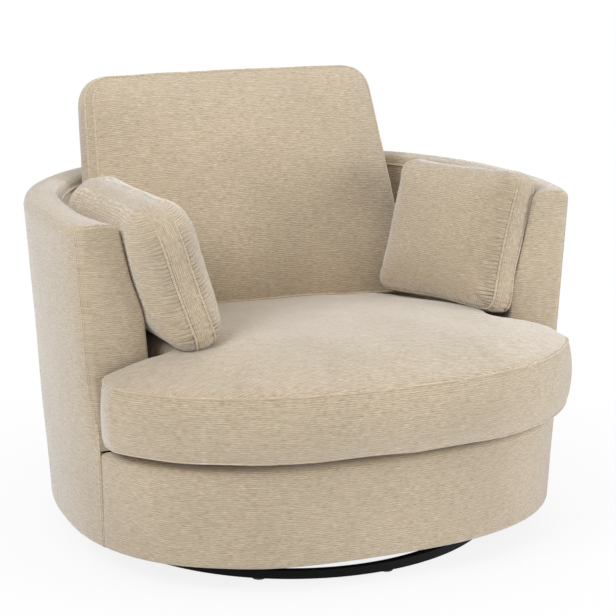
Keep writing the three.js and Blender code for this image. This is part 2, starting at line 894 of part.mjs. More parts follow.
function addRound(name, geometry, material, count, radius, z, turn) {
  for (let i = 0; i < count; i += 1) {
    const angle = degrees(turn) + (i / count) * 2 * Math.PI;
    const mesh = add(`${name}_${i + 1}`, geometry.clone(), material);
    mesh.position.set(radius * Math.cos(angle), radius * Math.sin(angle), z);
    mesh.rotation.z = angle;
  }
}

function addBase() {
  add("base_ring", baseRing(), blackSteel);
  const inside = ringRadius - ringWidth;
  const half = crossBarWidth / 2;
  add("cross_bar_long", crossBar(-inside, inside), blackSteel);
  const short = crossBar(half + gap, inside);
  add("cross_bar_short_left", short.clone().rotateZ(Math.PI / 2), blackSteel);
  add("cross_bar_short_right", short.clone().rotateZ(-Math.PI / 2), blackSteel);
  addRound("glide", glide(), glidePlastic, glideCount, ringRadius - ringWidth / 2, 0, glideTurn - 90);
  add("swivel_lower_plate", racePlate(1), zincSteel);
  addRound("base_bolt", screw(1), zincSteel, screwCount, screwCircle, lowerPlateTop + gap, crossBarTurn);
}

function addBearing() {
  add("ball_cage", ballCage(), cagePlastic);
  for (let i = 0; i < ballCount; i += 1) {
    add(`ball_${i + 1}`, ball(), springSteel).position.copy(ballPlace(i));
  }
}

function addFrame() {
  add("swivel_upper_plate", racePlate(-1), zincSteel);
  addRound("frame_screw", screw(-1), zincSteel, screwCount, screwCircle, upperPlateBottom - gap, 0);
  add("bottom_frame", bottomFrame(), plywood);
  add("seat_rail", seatRail(), plywood);
  add("top_rail", topRail(), plywood);
  backPostTurnShares.forEach((share, i) => {
    const tall = post(share * Math.PI, bottomRailTop + gap, topRailTop - railThickness - gap);
    add(`back_post_${i + 1}`, tall, plywood);
  });
  frontPostTurnShares.forEach((share, i) => {
    add(`front_post_${i + 1}`, post(share * Math.PI, bottomRailTop + gap, seatRailTop), plywood);
  });
  const armAngle = tubAngleAtY(armFaceY + armPad + armPostSetback, rimHeight, postFace);
  [["left", Math.PI - armAngle], ["right", armAngle]].forEach(([side, angle]) => {
    const tall = post(angle, bottomRailTop + gap, topRailTop - railThickness - gap);
    add(`arm_post_${side}`, tall, plywood);
  });
  add("spring_rail_front", springRail(frontSpringRailY), plywood);
  add("spring_rail_back", springRail(backSpringRailY), plywood);
}

function addSprings() {
  const path = springPath();
  console.log("least gap between a spring's own turns, mm:", leastWireGap(path, springWire / 2).toFixed(2));
  for (let i = 0; i < springCount; i += 1) {
    const mesh = add(`seat_spring_${i + 1}`, wireTube(path, springWire / 2), springSteel);
    mesh.position.x = (i - (springCount - 1) / 2) * springSpacing;
  }
}

function addCovers() {
  add("outer_cover", outerCover(), upholstery);
  add("inner_cover", innerCover(), upholstery);
  add("rim_cover", rimCover(), upholstery);
  add("arm_front_left", armFront(-1), upholstery);
  add("arm_front_right", armFront(1), upholstery);
  add("deck_cloth", deckCloth(), lining);
  add("dust_cover", dustCover(), dustBlack);
}

function addCushions() {
  add("seat_cushion", seatCushion(), upholstery);
  add("back_cushion", cut(backCushion(), seatCushion(gap), ...wallOnTheWay()), upholstery);
  const left = sideFrame(-1, leftSideInset, leftSideSetback, leftSideRise, leftSideTurns);
  const right = sideFrame(1, rightSideInset, rightSideSetback, rightSideRise, rightSideTurns);
  add("side_cushion_left", placedSideCushion(left), upholstery);
  add("side_cushion_right", placedSideCushion(right), upholstery);
}

addBase();
addBearing();
addFrame();
addSprings();
addCovers();
addCushions();

export default chair;
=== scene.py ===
"""Swivel cuddle chair: upholstery, seams, finishes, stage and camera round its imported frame."""

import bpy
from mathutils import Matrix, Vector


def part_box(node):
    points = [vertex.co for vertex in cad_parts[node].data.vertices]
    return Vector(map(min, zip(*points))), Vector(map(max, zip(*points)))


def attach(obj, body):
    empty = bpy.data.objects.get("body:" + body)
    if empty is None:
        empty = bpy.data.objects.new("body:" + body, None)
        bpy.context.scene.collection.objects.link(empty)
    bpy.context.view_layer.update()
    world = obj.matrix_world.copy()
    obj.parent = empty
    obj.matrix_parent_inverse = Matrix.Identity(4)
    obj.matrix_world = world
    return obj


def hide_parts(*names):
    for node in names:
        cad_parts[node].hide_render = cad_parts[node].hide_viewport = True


bl_info = {
    "name": "Swivel Cuddle Chair",
    "version": (1, 0, 0),
    "blender": (4, 5, 0),
    "location": "View3D > Sidebar > Chair",
    "description": "Upholstery, seams, finishes and stage for a swivel cuddle chair",
    "category": "Object",
}

import math

import bpy
import numpy as np
from bpy.props import FloatProperty, FloatVectorProperty, IntProperty, PointerProperty
from mathutils import Matrix, Vector, noise
from mathutils.bvhtree import BVHTree
from mathutils.kdtree import KDTree

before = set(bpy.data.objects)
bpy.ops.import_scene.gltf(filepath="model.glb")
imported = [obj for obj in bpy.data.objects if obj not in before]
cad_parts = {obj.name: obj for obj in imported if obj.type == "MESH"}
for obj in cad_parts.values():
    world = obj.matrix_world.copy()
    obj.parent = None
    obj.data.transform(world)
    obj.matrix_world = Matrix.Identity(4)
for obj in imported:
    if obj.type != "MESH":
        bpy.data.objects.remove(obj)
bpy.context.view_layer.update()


# Settings that a user would change


def metres(name, default, description):
    return FloatProperty(name=name, description=description, default=default, unit="LENGTH", precision=4)


def number(name, default, description):
    return FloatProperty(name=name, description=description, default=default, precision=4)


def turn(name, degrees, description):
    return FloatProperty(name=name, description=description, default=math.radians(degrees), subtype="ANGLE")


def colour(name, default, description):
    return FloatVectorProperty(name=name, description=description, default=default, subtype="COLOR", size=3)


class TubSizes(bpy.types.PropertyGroup):
    half_width: metres("Half width", 0.520, "Half the width of the tub at its widest line")
    back_depth: metres("Back depth", 0.542, "Depth of the tub behind its widest line")
    front_depth: metres("Front depth", 0.457, "Depth of the tub in front of its widest line")
    widest_y: metres("Widest line", -0.031, "Where the widest line lies along Y")
    back_roundness: number("Back roundness", 2.18, "Exponent of the plan behind the widest line")
    front_roundness: number("Front roundness", 2.53, "Exponent of the plan in front of it")
    rim_height: metres("Rim height", 0.658, "Height of the rim above the floor")
    bottom: metres("Bottom", 0.054, "Height of the tub's underside")
    floor_taper: number("Floor taper", 0.932, "Size of the plan at the underside, as a share of the rim's")
    bottom_round: metres("Bottom round", 0.010, "Radius of the tub's lower edge")
    ledge: metres("Ledge", 0.2447, "Height of the ledge that carries the seat cushion")
    ledge_round: metres("Ledge round", 0.012, "Radius of the ledge's front edge")
    arm_face_y: metres("Arm faces", -0.225, "Where the arm fronts lie along Y")
    rim_width: metres("Rim width", 0.069, "Width of the rim")
    wall_slope: number("Wall slope", 0.1335, "How fast the wall gets thicker going down")
    rim_outer_round: metres("Rim outer round", 0.020, "Radius of the rim's outer edge")
    rim_inner_round: metres("Rim inner round", 0.018, "Radius of the rim's inner edge")
    arm_pad: metres("Arm padding", 0.009, "How much thicker the arms are padded on their inner side")
    arm_belly: metres("Arm belly", 0.0065, "How far that padding bulges halfway up")
    rim_seam: metres("Rim seam", 0.019, "How far under the rim's top the seam on its inner side lies")
    rim_swell: metres("Rim swell", 0.002, "How far the rim's padding rises along its middle")
    skin: metres("Cover thickness", 0.005, "Thickness of the cover and its backing")
    hem: metres("Hem", 0.060, "Width of the hem under the tub")
    edge_reach: metres("Seam reach", 0.006, "Length over which the cloth is drawn in to a seam")
    edge_side: metres("Arm edge reach", 0.012, "How far the outer edge of an arm's front is rounded across")
    edge_depth: metres("Arm edge depth", 0.032, "How far it is rounded along the arm")
    edge_top: metres("Arm top edge", 0.008, "Rounding of the top and inner edges of an arm's front")
    seam_foot_y: metres("Front seam foot", -0.2205, "Where the front panel's seam meets the hem along Y")
    seam_ledge_y: metres("Front seam top", -0.2325, "Where it meets the ledge along Y")


class SeatSizes(bpy.types.PropertyGroup):
    underside: metres("Underside", 0.245, "Height of the seat cushion's underside")
    lower_seam: metres("Lower seam", 0.258, "Height of its lower seam")
    upper_seam: metres("Upper seam", 0.383, "Height of its upper seam")
    crown: metres("Crown", 0.056, "How far its top rises above the seam")
    crown_reach: metres("Crown reach", 0.240, "Distance from the seam at which the crown is full")
    fullness: number("Fullness", 0.55, "Exponent of the crown, smaller for a fuller edge")
    wing_fullness: number("Wing fullness", 0.74, "The same at the wings")
    rear_reach: metres("Rear reach", 0.014, "Distance over which it rises where it presses on the arm fronts")
    neck_reach: metres("Neck reach", 0.070, "Distance over which it rises between the walls")
    droop: metres("Droop", 0.005, "How far the front's lower edge sags at its right")
    rear_drop: metres("Rear drop", 0.033, "How much lower the crown is under the back cushion")
    right_drop: metres("Right drop", 0.005, "How much lower still it is at the right")
    overhang: metres("Overhang", 0.017, "How far the front stands over the tub")
    front_bulge: metres("Front bulge", 0.020, "How far the front boxing bulges in the middle")
    wing_bulge: metres("Wing bulge", 0.009, "How far it bulges at the wings")
    wing_half_width: metres("Wing half width", 0.467, "Half the width in front of the arms")
    wing_round: metres("Wing round", 0.022, "Radius of the wings' rear corners")
    notch_round: metres("Notch round", 0.012, "Radius of the notches at the arms")
    wall_gap: metres("Wall gap", 0.006, "Gap between the cushion and the walls")
    arm_gap: metres("Arm gap", 0.004, "Gap between the wings and the arm fronts")


class BackSizes(bpy.types.PropertyGroup):
    foot_half: metres("Foot half width", 0.3435, "Half the width at the foot")
    top_half: metres("Top half width", 0.316, "Half the width at the top")
    height: metres("Height", 0.497, "Height of the outline along the lean")
    corner: metres("Top corner", 0.068, "Size of the top corners")
    foot_corner: metres("Foot corner", 0.060, "Size of the foot corners")
    boxing: metres("Boxing", 0.058, "Depth of the boxing")
    draw_in: metres("Draw in", 0.002, "How far the sides draw in between the corners")
    bulge: metres("Bulge", 0.008, "How far the boxing bulges")
    lean: turn("Lean", 22.5, "Lean from the upright")
    crown: metres("Crown", 0.030, "How far the front rises above its seam")
    crown_reach: metres("Crown reach", 0.120, "Distance from the seam at which the crown is full")


class SideSizes(bpy.types.PropertyGroup):
    draw_in: metres("Draw in", 0.009, "How far the sides draw in between the corners")
    crown_reach: metres("Crown reach", 0.105, "Distance from the seam at which the crown is full")
    bulge: metres("Bulge", 0.004, "How far the gusset bulges")


class SeamSizes(bpy.types.PropertyGroup):
    welt_radius: metres("Welt radius", 0.0023, "Radius of the folded edge that shows in a seam")
    back_band: metres("Back band", 0.021, "Width of the band inside the back cushion's front seam")
    band_end: metres("Band end", -0.282, "Where that band ends at the cushion's left, from its middle")
    arm_welt: metres("Arm welt", 0.0017, "Radius of the two folds beside an arm's seam")
    stitch_pitch: metres("Stitch pitch", 0.0052, "Distance from one stitch to the next")
    stitch_length: metres("Stitch length", 0.0038, "Length of a stitch")
    thread_radius: metres("Thread radius", 0.00055, "Radius of the thread")
    row_offset: metres("Row offset", 0.0042, "Distance from the seam to a row of stitches")
    groove: metres("Groove", 0.0014, "How deep the cloth is drawn down at a seam")
    groove_width: metres("Groove width", 0.0045, "Width of that groove")


class SoftSettings(bpy.types.PropertyGroup):
    pressure: number("Pressure", 4.0, "Cloth pressure that fills the cushions")
    frames: IntProperty(name="Frames", description="Frames of cloth simulation", default=20, min=2)
    cap: metres("Movement cap", 0.024, "Farthest that a point may move while a cushion fills")
    proud: metres("Stand proud", 0.003, "How far the cloth may stand over its form")
    sunk: metres("Sink", 0.009, "How far the cloth may sink under its form")
    seed: IntProperty(name="Seed", description="Seed of the gathers along the seams", default=7)


class ClothColours(bpy.types.PropertyGroup):
    light: colour("Light pile", (0.73, 0.607, 0.445), "Colour of the raised ribs")
    deep: colour("Deep pile", (0.325, 0.246, 0.156), "Colour between the ribs")
    thread: colour("Thread", (0.66, 0.57, 0.44), "Colour of the stitches")
    rib_pitch: metres("Rib pitch", 0.0036, "Distance from rib to rib")
    rib_depth: metres("Rib depth", 0.0019, "Depth of the ribs in the bump")
    fold_pitch: metres("Fold pitch", 0.0075, "Distance from fold to fold beside a gathered seam")
    fold_depth: metres("Fold depth", 0.0028, "Depth of those folds in the bump")
    # Painted highlight: the welts get a paler copy of the cloth, as if they caught more light than the faces
    # beside them
    welt_highlight: number("Fold lift", 1.14, "How much paler the folded edges in the seams are")
    sheen: number("Sheen", 0.80, "Pale bloom of the pile at grazing angles")


class StageSettings(bpy.types.PropertyGroup):
    camera_place: FloatVectorProperty(
        name="Camera place", description="Where the camera stands", default=(-1.335, -3.369, 1.299),
        subtype="TRANSLATION", size=3)
    camera_pitch: turn("Camera pitch", 13.681, "How far the camera looks down")
    camera_heading: turn("Camera heading", -22.134, "Turn of the camera about Z")
    focal_share: number("Focal share", 3.05065, "Focal length as a share of the frame's width")
    key_power: number("Key power", 73.0, "Power of the key light in watts")
    fill_power: number("Fill power", 80.0, "Power of the fill light in watts")
    top_power: number("Top power", 17.0, "Power of the top light in watts")
    sky: number("Sky", 0.52, "Strength of the white surroundings on the object")


GROUPS = {
    "chair_tub": TubSizes,
    "chair_seat": SeatSizes,
    "chair_back": BackSizes,
    "chair_side": SideSizes,
    "chair_seams": SeamSizes,
    "chair_soft": SoftSettings,
    "chair_cloth": ClothColours,
    "chair_stage": StageSettings,
}


def settings(name):
    return getattr(bpy.context.scene, name)


# Meshes


def new_object(name, points, faces, material=None, edges=()):
    mesh = bpy.data.meshes.new(name)
    mesh.from_pydata([tuple(p) for p in points], edges, faces)
    mesh.update()
    mesh.shade_smooth()
    obj = bpy.data.objects.new(name, mesh)
    bpy.context.scene.collection.objects.link(obj)
    if material:
        mesh.materials.append(material)
    return obj


def fetched(items, key, width=1, kind=float):
    """One attribute of a mesh's points, edges, faces or corners."""
    values = np.empty(len(items) * width, kind)
    items.foreach_get(key, values)
    return values.reshape(-1, width) if width > 1 else values


def coordinates(obj):
    return fetched(obj.data.vertices, "co", 3)


def set_coordinates(obj, points):
    obj.data.vertices.foreach_set("co", np.ascontiguousarray(points, float).ravel())
    obj.data.update()


def normals(obj):
    return fetched(obj.data.vertex_normals, "vector", 3)


def corner_points(obj):
    return fetched(obj.data.loops, "vertex_index", kind=int)


def lay_map(obj, name, uv):
    obj.data.uv_layers.new(name=name).data.foreach_set("uv", uv.astype(np.float32).ravel())


def grid_faces(rows, columns, rows_closed, columns_closed):
    faces = []
    for i in range(rows if rows_closed else rows - 1):
        a, b = i * columns, ((i + 1) % rows) * columns
        for j in range(columns if columns_closed else columns - 1):
            k = (j + 1) % columns
            faces.append((a + j, a + k, b + k, b + j))
    return faces


def capped(name, grid, material):
    """Closed solid from a grid of closed sections, with flat ends."""
    rows, columns = grid.shape[:2]
    faces = grid_faces(rows, columns, False, True)
    faces += [tuple(reversed(range(columns))), tuple(range((rows - 1) * columns, rows * columns))]
    obj = new_object(name, grid.reshape(-1, 3), faces, material)
    turned_out(obj)
    return obj


def swept(name, rows, section, column, material):
    """Closed solid along a section's rows, its weave measured along one column and round the section."""
    grid = np.stack(rows)
    u = arc_lengths(grid[:, column])
    v = arc_lengths(np.stack([section.inset, section.z], 1))
    obj = capped(name, grid, material)
    row, at = np.divmod(corner_points(obj), len(v))
    lay_map(obj, "weave", np.stack([u[row], v[at]], 1))
    return obj


def turned_out(obj):
    """Turns the faces of a closed mesh outwards."""
    obj.data.calc_loop_triangles()
    corners = fetched(obj.data.loop_triangles, "vertices", 3, int)
    a, b, c = (coordinates(obj)[corners[:, k]] for k in range(3))
    if (np.cross(a, b) * c).sum() < 0:
        obj.data.flip_normals()
        obj.data.update()


def apply_modifiers(obj):
    graph = bpy.context.evaluated_depsgraph_get()
    mesh = bpy.data.meshes.new_from_object(obj.evaluated_get(graph))
    old = obj.data
    obj.modifiers.clear()
    obj.data = mesh
    bpy.data.meshes.remove(old)
    mesh.name = obj.name


def surface_tree(*objects):
    points, faces = [], []
    for obj in objects:
        start = len(points)
        points += [tuple(v.co) for v in obj.data.vertices]
        faces += [tuple(start + i for i in p.vertices) for p in obj.data.polygons]
    return BVHTree.FromPolygons(points, faces)


def resampled(points, spacing, closed):
    loop = np.vstack([points, points[:1]]) if closed else np.asarray(points, float)
    along = arc_lengths(loop)
    count = max(4, round(along[-1] / spacing))
    at = np.linspace(0, along[-1], count, endpoint=not closed)
    return np.stack([np.interp(at, along, loop[:, k]) for k in range(loop.shape[1])], 1)


def arc_lengths(points):
    return np.concatenate([[0], np.cumsum(np.linalg.norm(np.diff(points, axis=0), axis=1))])


def along_of(outline):
    """Unit step along a closed outline at each of its points."""
    step = np.roll(outline, -1, axis=0) - np.roll(outline, 1, axis=0)
    return step / np.linalg.norm(step, axis=1)[:, None]


def out_of(outline):
    """Unit direction out of a closed outline at each of its points."""
    return along_of(outline)[:, ::-1] * (1, -1)


def at_level(outline, level):
    return np.column_stack([outline, np.full(len(outline), level)])


def curve_through(start, bends, steps=24):
    """Points of a run of quadratic curves, each given as its control point and its end."""
    t = np.linspace(0, 1, steps, endpoint=False)[:, None]
    points, here = [], np.array(start, float)
    for control, end in bends:
        control, end = np.array(control, float), np.array(end, float)
        points.append((1 - t) ** 2 * here + 2 * t * (1 - t) * control + t**2 * end)
        here = end
    points.append(here[None])
    return np.vstack(points)


# Tub


def tub_points(angle, z, inset):
    """Points of the tub's plan at a height, drawn in along its normal; arguments may be arrays."""
    tub = settings("chair_tub")
    angle, z, inset = np.broadcast_arrays(np.asarray(angle, float), z, inset)
    share = (tub.rim_height - z) / (tub.rim_height - tub.bottom)
    scale = 1 - (1 - tub.floor_taper) * share
    back = np.sin(angle) >= 0
    a = tub.half_width * scale
    b = np.where(back, tub.back_depth, tub.front_depth) * scale
    n = np.where(back, tub.back_roundness, tub.front_roundness)
    c, s = np.cos(angle), np.sin(angle)
    r = (np.abs(c / a) ** n + np.abs(s / b) ** n) ** (-1 / n)
    x, y = r * c, r * s
    nx = np.sign(x) * np.abs(x / a) ** (n - 1) / a
    ny = np.sign(y) * np.abs(y / b) ** (n - 1) / b
    size = np.hypot(nx, ny)
    return np.stack([x - nx / size * inset, y + tub.widest_y - ny / size * inset, z], -1)


def wall_width(z):
    tub = settings("chair_tub")
    return tub.rim_width + (tub.rim_height - z) * tub.wall_slope


# Gap between the inner wall's cloth and its frame
INNER_GAP = 0.0006
# Heights between which the arms' padding begins, and the height and spread of its belly
PAD_START, BELLY = (0.33, 0.45), (0.492, 0.045)
# Where along Y that padding fades out
PAD_FADE = (-0.05, 0.20)


def arm_padding(z):
    """Padding on the inner side of an arm at a height."""
    tub, (height, spread) = settings("chair_tub"), BELLY
    belly = np.exp(-(((np.asarray(z) - height) / spread) ** 2))
    return tub.arm_pad * smooth_step(z, *PAD_START) + tub.arm_belly * belly


def arm_share(y):
    """How much of the arms' padding is left towards the back."""
    return 1 - smooth_step(y, *PAD_FADE)


def angle_at_y(y, z, inset):
    """Angle on the right-hand side at which the drawn-in plan has the given y."""
    z, inset = np.broadcast_arrays(np.asarray(z, float), inset)
    low, high = np.full(z.shape, -math.pi / 2), np.full(z.shape, math.pi / 2)
    for _ in range(40):
        middle = (low + high) / 2
        under = tub_points(middle, z, inset)[..., 1] < y
        low, high = np.where(under, middle, low), np.where(under, high, middle)
    return low


def line(start, end, steps):
    return np.linspace(start, end, steps, endpoint=False)


def arc(centre, radius, start, end, steps):
    """Arc of a section of [inset, height] points; 0 degrees faces out of the tub and 90 up."""
    a = np.radians(np.linspace(start, end, steps, endpoint=False))
    return np.stack([centre[0] - radius * np.cos(a), centre[1] + radius * np.sin(a)], 1)


def even_shares(count, crowd=0.55):
    """Shares from 0 to 1 that crowd together at both ends."""
    t = np.linspace(0, 1, count)
    return (1 - crowd) * t + crowd * (1 - np.cos(math.pi * t)) / 2


def soft_waves(points, size, height):
    return np.array([noise.noise(Vector(p) / size) for p in points]) * height


class Section:
    """Closed section of the tub's cover as [inset, height] rows, with the way into the wall at each."""

    def __init__(self, outside, inside):
        rows = np.vstack([outside, inside])
        self.inset, self.z = rows.T
        self.into = np.vstack([into_wall(outside), -into_wall(inside)])
        self.outward = np.concatenate([np.ones(len(outside)), np.zeros(len(inside))])
        tub = settings("chair_tub")
        padded = smooth_step(self.inset, tub.rim_outer_round, tub.rim_width - tub.rim_inner_round)
        self.padding = arm_padding(self.z) * padded
        self.arm_inset = self.inset + self.padding

    def at(self, angle, depth=0.0):
        """Points at the given angles, drawn into the wall by a depth."""
        bare = tub_points(angle, self.z, self.inset)
        inset = self.inset + self.padding * arm_share(bare[:, 1])
        deep = depth + soft_waves(bare, 0.16, 0.0016) * self.outward
        return tub_points(angle, self.z + self.into[:, 1] * deep, inset + self.into[:, 0] * deep)


def into_wall(path):
    """Unit direction into the wall at each row of a path that runs up the outside."""
    along = np.gradient(path, axis=0)
    size = np.maximum(np.linalg.norm(along, axis=1), 1e-9)[:, None]
    return np.stack([along[:, 1], -along[:, 0]], 1) / size


def seam_y(z):
    """Where the seam between the cover and the front panel lies below the ledge."""
    tub = settings("chair_tub")
    share = (z - tub.bottom) / (tub.ledge - tub.bottom)
    return tub.seam_foot_y + (tub.seam_ledge_y - tub.seam_foot_y) * np.clip(share, 0, 1)


def arm_edge(inset, z):
    """How the cloth turns round an arm's edge: its plane, reach, depth and the turn up to the seam."""
    tub = settings("chair_tub")
    rise = smooth_step(z, tub.ledge - 0.004, tub.ledge + 0.030)
    outer = 1 - smooth_step(inset, 0.0, tub.rim_outer_round)
    width = tub.rim_width + tub.arm_pad
    inner = smooth_step(inset, width - tub.rim_inner_round, width - 0.001)
    low = 1 - smooth_step(z, tub.ledge + 0.02, tub.ledge + 0.11)
    plane = seam_y(z) + (tub.arm_face_y - seam_y(z)) * rise
    reach = rise * blended(tub.edge_top, tub.edge_side, outer)
    depth = blended(0.004, blended(tub.edge_top + 0.002, tub.edge_depth, outer), rise)
    turn = np.radians(blended(blended(38, 42 + 26 * low, outer), 9, inner))
    return plane, reach, depth, turn


def blended(a, b, share):
    return a + (b - a) * share


def edge_ring(inset, z, into, turn, dip=0.0):
    """Points of a path after the cloth has turned by an angle round the arm's edge."""
    plane, reach, depth, _ = arm_edge(inset, z)
    deep = reach * (1 - np.cos(turn)) + dip
    inset, z = inset + into[:, 0] * deep, z + into[:, 1] * deep
    y = plane + depth * (1 - np.sin(turn))
    return tub_points(angle_at_y(y, z, inset), z, inset)


def wrapped_cover(name, section, count, cloth):
    """Sweeps a section from arm to arm and turns its ends round the arms' edges."""
    inset, z, into = section.arm_inset, section.z, section.into
    plane, _, depth, turn = arm_edge(inset, z)
    start = angle_at_y(plane + depth, z, inset)
    ends = [edge_ring(inset, z, into, turn, dip) for dip in (0.0026, 0.0007)]
    ends += [edge_ring(inset, z, into, turn * t) for t in (0.93, 0.8, 0.6, 0.4, 0.2)]
    rows = [section.at(blended(start, math.pi - start, t)) for t in even_shares(count)]
    return swept(name, [*ends, *rows, *(ring * (-1, 1, 1) for ring in reversed(ends))], section, 68, cloth)


def swept_section(name, section, first, last, count, plane_y, dip, cloth):
    """Sweeps a section between two angles, its ends drawn in towards their seams."""
    tub = settings("chair_tub")
    rows = []
    for t in even_shares(count):
        angle = blended(first, last, t)
        away = np.abs(section.at(angle)[:, 1] - plane_y)
        drop = dip * np.clip(1 - away / tub.edge_reach, 0, None) ** 2 * section.outward
        rows.append(section.at(angle, drop))
    return swept(name, rows, section, 20, cloth)


def foot_outside(low, high, r0, r1, rise, top):
    """Outside of a cover from its hem up to the end of its upper edge."""
    return np.vstack([
        line((settings("chair_tub").hem, low), (r0, low), 8),
        arc((r0, low + r0), r0, -90, 0, 7),
        line((0, low + r0), (0, high - r1), rise),
        arc((r1, high - r1), r1, 0, 90, top),
    ])


def foot_inside(low, high, r0, r1, rise, top):
    """The same path back, on the inside of the cover."""
    tub = settings("chair_tub")
    return np.vstack([
        arc((r1, high - r1), r1 - tub.skin, 90, 0, top),
        line((tub.skin, high - r1), (tub.skin, low + r0), rise),
        arc((r0, low + r0), r0 - tub.skin, 0, -90, 4),
        [(tub.hem, low + tub.skin)],
    ])


def wrap_section():
    """Hem, lower edge, outside, rim and the turn down to the seam inside, and back through the cover."""
    tub = settings("chair_tub")
    skin, low, high = tub.skin, tub.bottom, tub.rim_height
    r0, r1, r2 = tub.bottom_round, tub.rim_outer_round, tub.rim_inner_round
    seam, turn = high - tub.rim_seam, tub.rim_width - r2
    rim = line((r1, high), (turn, high), 14)
    rim[:, 1] += tub.rim_swell * np.sin(np.linspace(0, math.pi, len(rim)))
    outside = np.vstack([
        foot_outside(low, high, r0, r1, 110, 9), rim,
        arc((turn, high - r2), r2, 90, 180, 7),
        line((tub.rim_width, high - r2), (wall_width(seam), seam), 3),
        [(wall_width(seam), seam)],
    ])
    inside = np.vstack([
        [(tub.rim_width - skin, seam)],
        arc((turn, high - r2), r2 - skin, 180, 90, 4),
        foot_inside(low, high, r0, r1, 18, 5),
    ])
    return Section(outside, inside)


def front_section():
    """Hem, lower edge, front and the turn over the ledge, and back through the cover."""
    tub = settings("chair_tub")
    low, high, r0, r1, end = tub.bottom, tub.ledge, tub.bottom_round, tub.ledge_round, tub.hem / 2
    ledge = line((r1, high), (end, high), 5)
    outside = np.vstack([foot_outside(low, high, r0, r1, 34, 8), ledge, [(end, high)]])
    inside = np.vstack([[(end, high - tub.skin)], foot_inside(low, high, r0, r1, 8, 4)])
    return Section(outside, inside)


def inner_section():
    """Padded inner wall, from the seam under the rim down to the deck."""
    tub = settings("chair_tub")
    low, high, pad = tub.ledge - 0.003, tub.rim_height - 0.0155, 0.020
    levels = np.append(line(low, high - 0.006, 56), line(high - 0.006, high, 6))
    near = np.clip((high - levels) / 0.008, 0, 1)
    face = np.stack([wall_width(levels) + INNER_GAP - 0.0042 * (1 - near) ** 2, levels], 1)
    rear = line((wall_width(high) - pad, high), (wall_width(low) - pad, low), 12)
    return Section(face[::-1], rear[::-1])


def build_tub(cloth):
    tub = settings("chair_tub")
    outer = wrapped_cover("tub_cover", wrap_section(), 250, cloth)
    front = front_section()
    plane = seam_y(front.z) - 0.0004
    start = angle_at_y(plane, front.z, front.inset)
    panel = swept_section("front_panel", front, -math.pi - start, start, 170, plane, 0.0024, cloth)
    inner = inner_section()
    behind = tub.arm_face_y + 0.0088
    start = angle_at_y(behind, inner.z, inner.arm_inset)
    wall = swept_section("inner_wall", inner, start, math.pi - start, 200, behind, 0.0, cloth)
    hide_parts("rim_cover")
    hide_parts("outer_cover")
    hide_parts("inner_cover")
    arms = [arm_front(hand, side, cloth) for hand, side in ((-1, "left"), (1, "right"))]
    deck = deck_panel(cloth)
    for piece in (outer, panel, wall, *arms, deck):
        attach(piece, "chair")
    return outer, arms


def arm_outline():
    """Outline of an arm front as [inset, height] rows, from the outer foot up and round."""
    tub = settings("chair_tub")
    low, high = tub.ledge, tub.rim_height
    r1, r2 = tub.rim_outer_round, tub.rim_inner_round
    width = tub.rim_width + tub.arm_pad
    inner = line((tub.rim_width, high - r2), (wall_width(low), low), 72)
    inner[:, 0] += arm_padding(inner[:, 1])
    return np.vstack([
        line((0, low), (0, high - r1), 90),
        arc((r1, high - r1), r1, 0, 90, 12),
        line((r1, high), (width - r2, high), 10),
        arc((width - r2, high - r2), r2, 90, 180, 8),
        inner,
        line((wall_width(low), low), (0, low), 24),
    ])


# Turn and depth of the rings with which an arm's front ends in its seam, and how far its face swells
ARM_SEAM_TUCK = ((0.0, 0.0060), (0.0, 0.0022), (0.02, 0.0006))
ARM_FACE_SWELL = 0.0022


def arm_front(hand, side, cloth):
    """Padded panel on an arm's front, turned back round its edges to the seam."""
    path = arm_outline()
    inset, z = path.T
    into = out_of(path)
    turn = arm_edge(inset, z)[3]
    rings = [edge_ring(inset, z, into, turn + over, dip) for over, dip in ARM_SEAM_TUCK]
    rings += [edge_ring(inset, z, into, blended(turn, math.pi / 2, t)) for t in (0.12, 0.3, 0.5, 0.75, 1)]
    rings[0][:, 1] += 0.003
    edge = rings[-1]
    low, high = edge[:, 2].min(), edge[:, 2].max()
    heights = np.clip(edge[:, 2], low + 0.004, high - 0.026)
    middle = np.column_stack([arm_middle(edge, heights), np.full(len(edge), np.median(edge[:, 1])), heights])
    for share in (0.06, 0.15, 0.27, 0.42, 0.6, 0.8, 0.93, 0.985):
        ring = blended(edge, middle, share)
        ring[:, 1] -= ARM_FACE_SWELL * math.sin(share * math.pi / 2)
        rings.append(ring)
    obj = capped(f"arm_front_panel_{side}", np.stack(rings) * (hand, 1, 1), cloth)
    flat_weave(obj, lambda p: (p[:, 0] - p[:, 1] * hand, p[:, 2]))
    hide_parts(f"arm_front_{side}")
    return obj


def arm_middle(edge, heights):
    """Middle of an arm's front at each height."""
    top = int(np.argmax(edge[:, 2]))
    outer, inner = edge[:top], edge[top:]
    inner = inner[: int(np.argmin(inner[:, 0])) + 1]
    at_outer = np.interp(heights, outer[:, 2], outer[:, 0])
    at_inner = np.interp(heights, inner[::-1, 2], inner[::-1, 0])
    return (at_outer + at_inner) / 2


def flat_weave(obj, rule):
    """Weave map laid straight from the points by a rule that gives u and v."""
    lay_map(obj, "weave", np.stack(rule(coordinates(obj)), 1)[corner_points(obj)])


